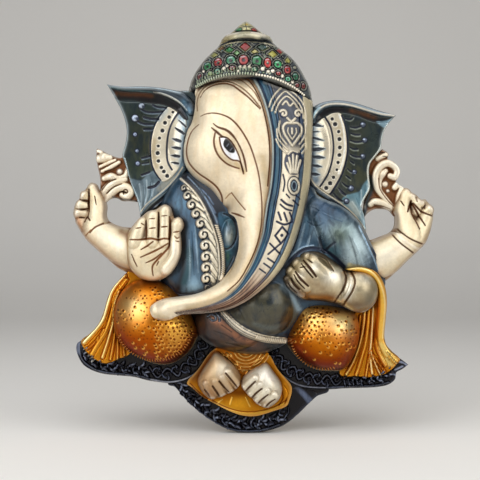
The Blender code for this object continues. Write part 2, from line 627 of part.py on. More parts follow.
def make_hollows(cutters):
    """What is cut from the back: all that is behind the wall plane, and a hollow behind each mass."""
    bm = bmesh.new()
    bmesh.ops.create_cube(bm, size=1.0)
    thick = FRONT_LEVEL
    bmesh.ops.scale(bm, verts=bm.verts, vec=(500.0, thick, 500.0))
    middle = (TIP_ROW + FOOT_ROW) / 2
    bmesh.ops.translate(bm, verts=bm.verts, vec=on_sheet(CENTRE_COLUMN, middle, -thick / 2))
    add_helper("wall_plane", mesh_from("wall_plane", bm), cutters)
    wall = CASTING_WALL / LEVEL_UNIT
    for name, (column, row, half_width, half_height, front) in HOLLOWS.items():
        radii = (half_width, half_height, front - wall)
        ball(name, (column, row, 0), radii, cutters, segments=24, rings=14, cast=False)


def make_hanging_bar(extras):
    """The bar cast across the top of the hollow behind the head. A nail's head goes under it."""
    column, row, half_width, half_height, _front = HOLLOWS["head_hollow"]
    reach = half_width * math.sqrt(1 - ((BAR_ROW - row) / half_height) ** 2) + 3.0
    bm = bmesh.new()
    bmesh.ops.create_cone(
        bm, cap_ends=True, segments=16, radius1=BAR_RADIUS, radius2=BAR_RADIUS, depth=2 * reach * UNIT
    )
    bmesh.ops.transform(bm, matrix=Matrix.Rotation(math.pi / 2, 4, "Y"), verts=bm.verts)
    depth = -(BAR_RADIUS + BAR_SETBACK)
    spot = ((column - CENTRE_COLUMN) * UNIT, depth, (HANG_ROW - BAR_ROW) * UNIT)
    bmesh.ops.translate(bm, verts=bm.verts, vec=spot)
    obj = bpy.data.objects.new("hanging_bar", mesh_from("hanging_bar", bm))
    extras.objects.link(obj)
    obj.hide_render = True
    obj.display_type = "WIRE"


def painted_brass():
    material = bpy.data.materials.new("painted_brass")
    material.use_nodes = True
    shader = material.node_tree.nodes["Principled BSDF"]
    shader.inputs["Base Color"].default_value = (0.62, 0.50, 0.30, 1.0)
    shader.inputs["Metallic"].default_value = 0.6
    shader.inputs["Roughness"].default_value = 0.4
    return material


def add_boolean(obj, operation, collection):
    modifier = obj.modifiers.new(collection.name, "BOOLEAN")
    modifier.operation = operation
    modifier.operand_type = "COLLECTION"
    modifier.collection = collection
    modifier.solver = "MANIFOLD"


def make_relief():
    """Joins the masses and their carving into the one casting, then cuts its back."""
    clear_scene()
    masses = new_collection("masses")
    carving = new_collection("carving")
    cutters = new_collection("cutters")
    extras = new_collection("extras")
    make_masses(masses)
    make_limbs(carving)
    make_carving(Surface(masses), carving)
    make_hollows(cutters)
    make_hanging_bar(extras)
    core = masses.objects["torso"]
    masses.objects.unlink(core)
    relief = bpy.data.objects.new("ganesha_relief", core.data)
    relief.matrix_world = SHEET_TO_PART
    bpy.data.objects.remove(core)
    new_collection("ganesha_wall_hanging").objects.link(relief)
    relief.data.materials.append(painted_brass())
    add_boolean(relief, "UNION", masses)
    add_boolean(relief, "UNION", carving)
    lighten = relief.modifiers.new("lighten", "DECIMATE")
    lighten.ratio = KEPT_SHARE
    add_boolean(relief, "DIFFERENCE", cutters)
    add_boolean(relief, "UNION", extras)


make_relief()
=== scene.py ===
import math

import bpy
import numpy as np
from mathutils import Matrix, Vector
from mathutils.geometry import delaunay_2d_cdt


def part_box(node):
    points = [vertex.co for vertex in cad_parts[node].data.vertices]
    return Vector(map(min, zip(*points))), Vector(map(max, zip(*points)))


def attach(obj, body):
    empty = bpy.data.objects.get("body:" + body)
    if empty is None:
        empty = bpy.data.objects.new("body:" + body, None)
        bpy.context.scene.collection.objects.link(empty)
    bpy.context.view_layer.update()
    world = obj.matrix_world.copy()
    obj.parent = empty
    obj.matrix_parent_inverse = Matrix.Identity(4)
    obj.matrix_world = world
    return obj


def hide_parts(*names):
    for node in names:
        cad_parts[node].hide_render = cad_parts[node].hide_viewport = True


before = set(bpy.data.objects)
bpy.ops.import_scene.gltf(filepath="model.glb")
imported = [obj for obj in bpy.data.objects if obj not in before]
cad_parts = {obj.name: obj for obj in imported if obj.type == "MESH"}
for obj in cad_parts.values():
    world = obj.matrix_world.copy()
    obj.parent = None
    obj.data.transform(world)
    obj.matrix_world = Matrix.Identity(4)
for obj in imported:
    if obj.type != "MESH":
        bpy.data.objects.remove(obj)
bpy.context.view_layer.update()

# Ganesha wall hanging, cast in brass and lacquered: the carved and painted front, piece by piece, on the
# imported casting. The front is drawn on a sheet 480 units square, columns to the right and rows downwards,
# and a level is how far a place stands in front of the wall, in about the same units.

low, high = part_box("ganesha_relief")

# The sheet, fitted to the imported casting
SHEET = 480
TIP_ROW, FOOT_ROW, CENTRE_COLUMN = 22.0, 435.0, 245.0
FRONT_OF_TRUNK = 72.67
UNIT = (high[2] - low[2]) / (FOOT_ROW - TIP_ROW)
HANG_ROW = TIP_ROW + high[2] / UNIT
LEVEL_UNIT = -low[1] / FRONT_OF_TRUNK
CORNER = "corner"
MM = 0.001
FINE = 1.0

# Paints, as they look in daylight
CREAM, IVORY, TAN, GOLD_TAN = "#E9DABE", "#F6EDDA", "#C9B48C", "#A98A52"
BROWN, DEEP_BROWN, COPPER = "#6B3F1E", "#3A2210", "#9B6A48"
INK, NAVY, BLUE, PALE_BLUE, SKY = "#161A26", "#22304F", "#3E5F7C", "#8FA6B3", "#B9CBD2"
TEAL, BLACK = "#1F4650", "#14121A"
PEACH, HONEY, LEMON = "#F4BF74", "#E3A22C", "#F5DD8A"
RED, GREEN, MOSS = "#97171B", "#17703A", "#A9A44E"
CARVED_CREAM, PANEL_NAVY, COLLAR_BLACK, CUT_BROWN = "#E6DCC6", "#1A2744", "#0F1422", "#54300F"
LASH_BROWN = "#5A3417"


def linear(hex_colour):
    """The linear values of an sRGB hex colour."""
    parts = [int(hex_colour[i : i + 2], 16) / 255 for i in (1, 3, 5)]
    return np.array([c / 12.92 if c <= 0.04045 else ((c + 0.055) / 1.055) ** 2.4 for c in parts])


def curve(points, closed=False, per_span=6):
    """A smooth line through the points. One marked CORNER keeps a sharp corner."""
    sharp = np.array([CORNER in point for point in points])
    numbers = np.array([[n for n in point if n != CORNER] for point in points], float)
    after, before = np.roll(numbers, -1, 0), np.roll(numbers, 1, 0)
    if not closed:
        after[-1], before[0] = numbers[-1], numbers[0]
    way = np.where(sharp[:, None], 0, (after - before) / 2)
    count = len(numbers) if closed else len(numbers) - 1
    t = (np.arange(per_span) / per_span)[:, None]
    start, end = numbers[:count, None], after[:count, None]
    leaving, arriving = way[:count, None], np.roll(way, -1, 0)[:count, None]
    made = start * (2 * t**3 - 3 * t**2 + 1) + leaving * (t**3 - 2 * t**2 + t)
    made = made + end * (3 * t**2 - 2 * t**3) + arriving * (t**3 - t**2)
    made = made.reshape(-1, numbers.shape[1])
    return made if closed else np.vstack([made, numbers[-1:]])


def ring_of(line):
    """A closed line, with its first place again at its end."""
    return np.vstack([line, line[:1]])


def reach_along(line):
    """How far along a line each of its places lies."""
    return np.concatenate([[0], np.cumsum(np.hypot(*np.diff(line[:, :2], axis=0).T))])


def shifted(line, across, down):
    """The same line, moved over the sheet."""
    return [(place[0] + across, place[1] + down) for place in line]


def evenly(line, spacing, closed=False):
    """The same line with its places at an even spacing."""
    line = ring_of(line) if closed else line
    reach = reach_along(line)
    spots = np.linspace(0, reach[-1], max(int(round(reach[-1] / spacing)), 3) + 1)
    made = np.column_stack([np.interp(spots, reach, line[:, k]) for k in range(line.shape[1])])
    return made[:-1] if closed else made


def nearest(u, v, line):
    """For each place, its distance from a line and how far along the line it lies, as a share."""
    gap, share = np.full(len(u), 1e9), np.zeros(len(u))
    reach = reach_along(line)
    for i in range(len(line) - 1):
        a, way = line[i, :2], line[i + 1, :2] - line[i, :2]
        t = np.clip(((u - a[0]) * way[0] + (v - a[1]) * way[1]) / max(way @ way, 1e-12), 0, 1)
        here = np.hypot(u - a[0] - t * way[0], v - a[1] - t * way[1])
        closer = here < gap
        gap[closer] = here[closer]
        share[closer] = (reach[i] + t[closer] * (reach[i + 1] - reach[i])) / reach[-1]
    return gap, share


def inside(u, v, loop):
    """Which places lie inside a closed line."""
    found = np.zeros(len(u), bool)
    for a, b in zip(loop, np.roll(loop, -1, 0)):
        if a[1] != b[1]:
            crosses = (a[1] > v) != (b[1] > v)
            found ^= crosses & (u < a[0] + (v - a[1]) * (b[0] - a[0]) / (b[1] - a[1]))
    return found


def dome(u, v, outline, centre, edge, peak):
    """The level of a pillow over an outline, from edge at its rim up to peak at its centre."""
    ring = curve(outline, True, 8)
    bearing = np.arctan2(ring[:, 1] - centre[1], ring[:, 0] - centre[0])
    reach = np.hypot(ring[:, 0] - centre[0], ring[:, 1] - centre[1])
    order = np.argsort(bearing)
    here = np.arctan2(v - centre[1], u - centre[0])
    turns = np.radians(np.arange(-180, 180, 2))
    limits = np.interp(turns, bearing[order], reach[order], period=2 * math.pi)
    limits = sum(np.roll(limits, k) for k in range(-5, 6)) / 11
    limit = np.interp(here, turns, limits, period=2 * math.pi)
    share = np.clip(np.hypot(u - centre[0], v - centre[1]) / limit, 0, 1)
    return edge + (peak - edge) * np.sqrt(1 - share**2)


def round_form(gap, level, radius, rise=None):
    """The level of a round form at a distance from its middle, falling away steeply outside it."""
    rise = radius if rise is None else rise
    share = gap / radius
    return level + rise * np.where(share < 1, np.sqrt(np.clip(1 - share**2, 0, 1)), 1.5 * (1 - share))


def tube(u, v, path):
    """The level of a round form along (column, row, level, radius) places."""
    line = curve(path, False, 6)
    gap, share = nearest(u, v, line)
    reach = reach_along(line) / reach_along(line)[-1]
    return round_form(gap, np.interp(share, reach, line[:, 2]), np.interp(share, reach, line[:, 3]))


def ball(u, v, centre, radii):
    """The level of a ball. Its centre has a level, and its radii run across, down and forwards."""
    return round_form(
        np.hypot((u - centre[0]) / radii[0], (v - centre[1]) / radii[1]), centre[2], 1.0, radii[2],
    )


def blend(a, b, soft=3.0):
    """The higher of two levels, with a fillet where they meet."""
    share = np.clip(0.5 + 0.5 * (a - b) / soft, 0, 1)
    return b + (a - b) * share + soft * 0.5 * share * (1 - share)


def blend_all(levels, soft=3.0):
    """The highest of several levels, with a fillet wherever two meet."""
    made = levels[0]
    for other in levels[1:]:
        made = blend(made, other, soft)
    return made


HOLLOWS = [
    (246, 152, 40, 46, 50.2), (262, 278, 46, 46, 43.2), (156, 323, 27, 27, 46.2), (322, 337, 24, 24, 46.2),
]


def hollow_level(u, v):
    """How deep the casting is hollowed from its back, as a level."""
    depth = np.zeros(len(u))
    for column, row, across, down, deep in HOLLOWS:
        share = ((u - column) / across) ** 2 + ((v - row) / down) ** 2
        depth = np.maximum(depth, deep * np.sqrt(np.clip(1 - share, 0, 1)))
    return depth


# Rows of places lie closer than columns do, so that their triangles are even, and none crowds the rim
ROW_SHARE, RIM_SHARE = 0.866, 0.55


class Front:
    """The front of one piece: its places on the sheet, each with a level and a paint."""

    def __init__(self, outline, spacing, paint):
        spacing *= FINE
        loop = evenly(curve(outline, True, 8), spacing, True)
        coarse = ring_of(curve(outline, True, 4))
        low_corner, high_corner = loop.min(0), loop.max(0)
        rows = np.arange(low_corner[1], high_corner[1], spacing * ROW_SHARE)
        columns = np.arange(low_corner[0], high_corner[0], spacing)
        u, v = np.meshgrid(columns, rows)
        u = (u + spacing / 2 * (np.arange(len(rows)) % 2)[:, None]).ravel()
        v = v.ravel()
        keep = inside(u, v, coarse[:-1])
        u, v = u[keep], v[keep]
        gap, _ = nearest(u, v, coarse)
        keep = gap > RIM_SHARE * spacing
        self.loop = len(loop)
        self.u = np.concatenate([loop[:, 0], u[keep]])
        self.v = np.concatenate([loop[:, 1], v[keep]])
        self.gap = np.concatenate([np.zeros(len(loop)), gap[keep]])
        self.level = np.zeros(len(self.u))
        self.paint = np.tile(linear(paint), (len(self.u), 1))

    def near(self, line, reach):
        """The places that may lie within reach of a line."""
        u, v = self.u, self.v
        (left, top), (right, bottom) = line[:, :2].min(0) - reach, line[:, :2].max(0) + reach
        return np.nonzero((u > left) & (u < right) & (v > top) & (v < bottom))[0]

    def tint(self, where, cover, colour):
        """Covers places with a paint, by a share for each."""
        here = self.paint[where]
        self.paint[where] = here + (linear(colour) - here) * np.clip(cover, 0, 1)[:, None]

    def stroke(self, points, width, rise=0.0, colour=None, taper=None, closed=False, soft=0.7, strength=1.0):
        """A line cut into the surface, or raised on it where rise is positive, with its own paint."""
        line = curve(points, closed, 5)
        line = ring_of(line) if closed else line
        near = self.near(line, width + 1)
        if not len(near):
            return
        gap, share = nearest(self.u[near], self.v[near], line)
        half = np.full(len(near), width / 2)
        if taper:
            half = half * np.interp(share, np.linspace(0, 1, len(taper)), taper)
        self.level[near] += rise * np.sqrt(1 - np.clip(gap / np.maximum(half, 1e-3), 0, 1) ** 2)
        if colour:
            self.tint(near, np.clip((half - gap) / soft + 0.5, 0, 1) * strength, colour)

    def strokes(self, lines, width, rise=0.0, colour=None, **more):
        """Several strokes of one kind."""
        for line in lines:
            self.stroke(line, width, rise, colour, **more)

    def raised(self, lines, width, rise, colour, groove, margin=1.4, **more):
        """Raised lines of carving, each in a darker groove."""
        for line in lines:
            self.stroke(line, width + margin, -0.5, groove, **more)
        for line in lines:
            self.stroke(line, width, rise + 0.5, colour, **more)

    def dots(self, places, rise, colour, rim=None, rim_width=1.2, squeeze=1.0):
        """Round spots, as (column, row, radius), sunk or raised, with a rim of another paint."""
        for column, row, radius in places:
            near = self.near(np.array([[column, row]]), radius * max(1, squeeze) + 3)
            if not len(near):
                continue
            gap = np.hypot((self.u[near] - column) / squeeze, self.v[near] - row)
            if rim:
                self.tint(near, np.clip((radius + rim_width - gap) / 0.7 + 0.5, 0, 1), rim)
            self.level[near] += rise * np.sqrt(1 - np.clip(gap / radius, 0, 1) ** 2)
            self.tint(near, np.clip((radius - gap) / 0.7 + 0.5, 0, 1), colour)

    def fill(self, outline, colour, strength=1.0, soft=0.7, rise=0.0, per_span=5):
        """Paints, and lifts or sinks, the area inside an outline."""
        loop = curve(outline, True, per_span)
        near = self.near(loop, soft + 1)
        if not len(near):
            return
        u, v = self.u[near], self.v[near]
        gap, _ = nearest(u, v, ring_of(loop))
        gap = np.where(inside(u, v, loop), gap, -gap)
        cover = np.clip(gap / soft + 0.5, 0, 1)
        if colour:
            self.tint(near, cover * strength, colour)
        self.level[near] += rise * cover

    def spot(self, column, row, across, down, colour, strength=1.0):
        """A soft patch of another paint."""
        share = ((self.u - column) / across) ** 2 + ((self.v - row) / down) ** 2
        self.tint(slice(None), strength * np.exp(-share), colour)

    def mist(self, points, reach, colour, strength=1.0):
        """A soft streak of another paint along a line."""
        gap, _ = nearest(self.u, self.v, curve(points, False, 4))
        self.tint(slice(None), strength * np.exp(-((gap / reach) ** 2)), colour)

    def edge_shade(self, reach, colour, strength=0.8):
        """Painted shade, darker towards the rounded edge of the piece."""
        self.tint(slice(None), strength * np.exp(-((self.gap / reach) ** 2)), colour)

    def drop_edge(self, radius, drop):
        """Rounds the piece over towards its outline."""
        share = np.clip(self.gap / radius, 0, 1)
        self.level -= drop * (1 - np.sqrt(1 - (1 - share) ** 2))

    def spiral(self, centre, size, turns, start, width, rise, colour, hand=1, squeeze=1.0):
        """A stroke that curls inwards to its centre."""
        count = int(10 * abs(turns)) + 2
        places = []
        for i in range(count + 1):
            share = i / count
            angle = start + hand * share * turns * 2 * math.pi
            reach = size * (1 - 0.82 * share)
            places.append(
                (centre[0] + squeeze * reach * math.cos(angle), centre[1] + reach * math.sin(angle))
            )
        self.stroke(places, width, rise, colour)


PIECES = []


def piece(name, outline, shape, spacing, finish, paint):
    """Lays out one piece's places, a given spacing apart, then carves and paints it."""
    front = Front(outline, spacing, paint)
    shape(front)
    PIECES.append((name, front, finish))


# The crown

CROWN = [
    (246, 22.3), (240, 24.5), (235.5, 29.5), (229.5, 33.5), (224.5, 38.5), (220, 43), (217, 49), (211, 54),
    (205.5, 59.5), (200.5, 65.5), (196, 71.5), (192, 79), (189.5, 86), (188, 93, CORNER), (197, 90),
    (206, 86.6), (215, 84), (226, 82.2), (238, 81.5), (250, 81.5), (263, 83.2), (275, 86.3), (286, 90.5),
    (297, 96), (306, 102), (314, 108, CORNER), (311, 94), (308, 84.5), (304, 77), (300, 70), (295.5, 63),
    (289.5, 57), (282.5, 52), (276, 46.5), (271, 40), (266, 35), (258.5, 29.8), (252, 25),
]
CROWN_BODY = [
    (234, 36), (222, 43), (211, 53), (200, 65), (191, 81), (187, 94, CORNER), (215, 94), (245, 91),
    (275, 96), (298, 104), (315, 109, CORNER), (310, 88), (303, 72), (291, 57), (277, 46), (260, 36),
]


def gem(f, column, row, across, down, colour, cut):
    """A glass stone in its setting: a pale bezel, the stone, and a painted glint on a round stone; a square
    stone gets painted shade on two sides and a painted highlight on the other two.
    """
    a = [i * math.pi / 4 for i in range(8)] if cut == "round" else [i * math.pi / 2 for i in range(4)]
    kind = (lambda x, y: (x, y)) if cut == "round" else (lambda x, y: (x, y, CORNER))
    ring = [kind(column + (across + 1.5) * math.cos(t), row + (down + 1.5) * math.sin(t)) for t in a]
    stone = [kind(column + across * math.cos(t), row + down * math.sin(t)) for t in a]
    f.stroke(ring, 3.4, -0.9, INK, closed=True)
    f.stroke(ring, 1.0, 1.5, "#AEB0A0", closed=True, strength=0.8)
    f.fill(stone, colour, 1.0, 0.8, 0.9)
    if cut == "round":
        f.dots([(column, row + 0.4, min(across, down) * 0.42)], -0.5, "#2A2226")
        f.stroke(
            [(column - across * 0.6, row - down * 0.55), (column + across * 0.3, row - down * 0.7)], 0.9, 0.2,
            SKY, strength=0.6,
        )
    else:
        # Painted shade on two sides of the square stone, a painted highlight on the other two
        f.stroke([stone[2][:2], stone[3][:2], stone[0][:2]], 1.0, -0.2, BLACK, strength=0.6)
        f.stroke(
            [stone[2][:2], stone[1][:2], stone[0][:2]], 0.8, 0.2, PEACH if colour == RED else MOSS,
            strength=0.4
        )


def crown(f):
    """The domed crown: a turned knob over rows of stones in raised settings."""
    u, v = f.u, f.v
    body = dome(u, v, CROWN_BODY, (248, 74), 20, 56)
    bulge = ball(u, v, (247, 40.5, 14), (28, 8.2, 36))
    finial = tube(u, v, [(246, 38, 22, 15), (246, 31, 24, 12), (246, 27, 24, 8), (246, 23, 24, 3)])
    f.level = blend_all([body, bulge, finial], 2.0)
    f.level = np.maximum(f.level, 18)
    f.drop_edge(3, 2)
    f.mist([(205, 60), (196, 74), (191, 88)], 6, "#4A3F38", 0.7)
    f.mist([(296, 66), (305, 80), (311, 96)], 9, "#5C6468", 0.8)
    f.spot(248, 62, 30, 16, "#454A42", 0.5)
    for row, first, pitch, count in ((47.5, 226, 8.5, 7), (58, 218, 9.5, 9), (70.5, 207, 9.5, 11)):
        for i in range(count):
            column = first + pitch * i
            sunk = row + 0.0052 * (column - 246) ** 2
            f.dots([(column, sunk, 1.5)], 0.8, "#A8A892", INK)
    lattice = [
        [(217, 57), (222, 51), (228, 46.5)], [(224, 61), (232, 53), (238, 47)],
        [(233, 46.5), (241, 54), (247, 59.5)],
        [(247, 59.5), (255, 52), (260, 46)], [(224, 47), (229, 58)], [(251, 47), (259, 55), (263, 60)],
        [(263, 60), (270, 53), (274, 49)], [(267, 47.5), (276, 54), (284, 62), (289, 69)],
        [(280, 66), (284, 60), (288, 57)],
        [(209, 60), (214, 66), (222, 71)], [(236, 61), (238, 70)], [(249, 62), (250, 71)],
        [(271, 66), (272, 74)], [(281, 68), (281, 76)],
    ]
    f.strokes(lattice, 3.0, -0.6, INK)
    f.strokes(lattice, 1.0, 1.3, "#A6A898", strength=0.75)
    for column, row, across, down, colour in (
        (222, 51.5, 3.6, 2.4, "#5C1A1C"), (229.5, 54, 4.6, 3.2, GREEN), (245, 51.4, 5.4, 5.0, "#7E1A1B"),
        (262, 51.6, 6.2, 3.6, "#18382C"), (279, 54, 3.6, 4.2, "#93211F"), (214.5, 57.5, 3.6, 3, "#8A8A48"),
        (237, 58, 3.4, 3, "#6E9A62"), (254.5, 56.5, 3.6, 2.8, "#A39A5C"), (272, 58, 4.6, 4.0, MOSS),
        (287, 63.5, 2.8, 4.4, "#A8A552"),
    ):
        gem(f, column, row, across, down, colour, "square")
    for column, row, across, down, colour in (
        (208, 69.5, 3.4, 4.2, GREEN), (218.5, 66.5, 3.8, 4.4, RED), (231, 65, 4.4, 4.4, "#1C6B48"),
        (243.5, 65, 4.4, 4.8, RED), (256.5, 66, 4.6, 5.2, GREEN), (267, 67.5, 3.4, 4.8, "#B8231F"),
        (277, 68.5, 3.6, 3.6, "#2FA060"), (286.5, 73.5, 3, 4.4, RED), (294.5, 79.5, 2.6, 3.6, "#1C6B48"),
        (302.5, 88, 1.8, 2.8, "#8A2A22"), (200, 79, 1.8, 3.0, "#7A1E1E"), (211, 77, 2.6, 2.2, "#8FA65A"),
        (218, 75.5, 2.8, 2.8, "#4F9A7A"), (232.5, 73, 3.0, 2.2, RED), (254.5, 74.2, 2.6, 2.2, "#1E6A40"),
        (277.5, 77.6, 2.0, 1.8, "#C02822"), (287, 82.5, 2.6, 2.4, "#43A87A"), (296, 88, 1.8, 2.0, RED),
    ):
        gem(f, column, row, across, down, colour, "round")
    f.dots([
        (224, 73, 1.8), (227.5, 70.5, 1.4), (240, 72, 1.6), (244.5, 72, 1.6), (249, 72, 1.6),
        (262, 73.5, 2.0),
        (267.5, 76, 1.6), (272, 75.5, 1.9), (281.5, 80, 1.7), (291.5, 85.5, 1.6), (238, 76, 1.3),
        (204, 74, 1.3),
    ], 1.1, IVORY, INK, 1.0)
    f.stroke([
        (190, 94), (203, 88.6), (215, 84.6), (228, 82.3), (243, 81.5), (257, 82.3), (270, 84.8), (282, 88.6),
        (297, 95.8), (312, 106),
    ], 2.0, -1.0, INK)
    low_rim = evenly(curve([
        (197, 90.4), (208, 85.6), (220, 82), (232, 80.2), (243, 79.6), (257, 80.4), (270, 82.6), (284, 87.4),
        (303, 97),
    ]), 2.9)
    for i in range(len(low_rim)):
        column, row = low_rim[i]
        if column < 256:
            f.stroke([(column + 1, row - 4.6), (column + 0.6, row - 7.2)], 1.4, 1.0, "#9FAE8E", strength=0.85)
    # Tiny beads worked into the dark ground between the stones
    chance = np.random.default_rng(14)
    for column, row, size in zip(
        chance.uniform(192, 310, 420), chance.uniform(49, 92, 420), chance.uniform(0.45, 0.85, 420),
    ):
        i = np.argmin(np.hypot(u - column, v - row))
        if f.gap[i] > 3 and f.paint[i].sum() < 0.09:
            f.dots(
                [(column, row, size)], 0.8,
                str(chance.choice(("#9FB39A", "#C9CDB8", "#5C7F8C", "#7C9C66", "#3F6A86"))),
            )
    # The turned knob
    knob = (v < 46 + 0.004 * (u - 247) ** 2).astype(float)
    f.tint(slice(None), knob, "#D9D2B0")
    f.mist([(219, 46), (225, 40), (232, 35)], 5.5, "#8A7418", 0.9)
    f.mist([(239, 40), (246, 41), (252, 43)], 2.6, "#6E6A52", 0.8)
    f.mist([(262, 42.5), (270, 44)], 3.2, "#2E3A44", 0.9)
    # Painted highlights along the top of the knob
    f.mist([(228, 38), (238, 36.5)], 1.6, IVORY, 0.9)
    f.mist([(252, 36.5), (264, 39)], 1.8, IVORY, 0.9)
    f.stroke(
        [(217, 49), (224, 46), (235, 44), (247, 43.8), (258, 44.6), (268, 44.6), (277, 48)], 2.6, -1.4,
        "#232B33",
    )
    f.stroke([(229, 35.6), (238, 33.8), (247, 33.2), (257, 34), (267, 37)], 1.6, -1.4, "#2A2C2A")
    f.fill([(234, 33.2), (240, 26), (247, 22.3), (254, 27), (262, 34), (247, 32.5)], "#B7B07A", 0.8)
    f.dots([(238.5, 31.6, 1.6)], 0.6, GREEN, INK, 0.8, 1.7)
    f.dots([(254.5, 31.6, 1.7)], 0.6, "#B5301A", INK, 0.8, 1.6)
    f.strokes([
        [(241, 27.5), (246, 29), (252, 28)], [(245, 23), (246.5, 32)], [(237, 29), (244, 30.5)],
        [(249, 30), (260, 32.5)],
    ], 1.0, -0.5, "#3A3A2E")
    f.dots([(246.5, 26, 1.2)], 0.5, "#C8A63A")


piece("crown", CROWN, crown, 0.5, "crown_lacquer", "#202B30")

# The head, the trunk and the veil over them

HEAD = [
    (196, 92), (218, 80), (246, 76), (278, 82), (300, 92), (311, 106), (311, 145), (309, 182), (302, 214),
    (270, 232), (240, 224), (222, 209), (216, 195), (205, 185.5), (191, 174.5), (184, 157), (186, 138),
    (194, 121), (195, 105),
]
TRUNK = [
    (258, 108, 20, 36), (262, 150, 20, 46), (265, 185, 26, 42), (265, 215, 33, 37.5), (264, 240, 42, 30),
    (257, 264, 49, 23.5), (243, 283, 55, 17.5), (224, 294.5, 59, 13.5), (203, 301, 62, 10),
    (184, 303.5, 63, 8), (170, 307, 61.5, 10), (158, 309.5, 59, 6),
]
FACE = [
    (195.5, 92), (196, 100), (195.5, 110), (194, 118), (192, 124), (188.5, 130), (185.8, 138), (184.3, 147),
    (184, 157), (186, 166), (191, 174), (198, 181), (207, 187), (214, 193), (219, 200), (222, 207.5),
    (228, 213), (235, 218), (237.8, 226), (239, 237), (238, 250), (234, 262), (228, 272), (219, 282),
    (207, 289), (195, 293.6), (180, 296), (168, 297), (159, 300), (153.5, 304.5), (153.3, 309), (156, 314.5),
    (163, 318), (172, 317), (180, 313), (190, 311), (205, 309), (222, 302), (238, 292), (250, 280),
    (260, 264), (268, 245), (273, 225), (276, 200), (277, 175), (276, 150), (273, 122), (268, 104),
    (260, 86), (248, 77), (228, 76), (210, 80), (200, 84),
]
VEIL_LEFT = [
    (247, 79), (253, 89), (258, 99), (262, 110), (265.2, 122), (268, 136), (269.2, 150), (269, 170),
    (267, 190), (264, 205), (262, 220), (260.5, 232), (256.5, 246), (250.5, 262), (243, 276), (236, 286),
    (226, 294.5), (213, 301), (200, 305), (185, 307.8), (177, 309.4),
]
VEIL_RIGHT = [
    (312, 102), (311.8, 120), (311.5, 150), (310, 175), (307, 195), (303, 215), (297, 233), (290, 250),
    (281, 266), (270, 279.5), (257, 291), (245, 299.5), (230, 306.5), (212, 310), (195, 311.2), (180, 312),
]


def head_level(u, v):
    """The level of the head and the trunk, which the face and the veil share."""
    return blend(dome(u, v, HEAD, (244, 150), 30, 62), tube(u, v, TRUNK), 8)


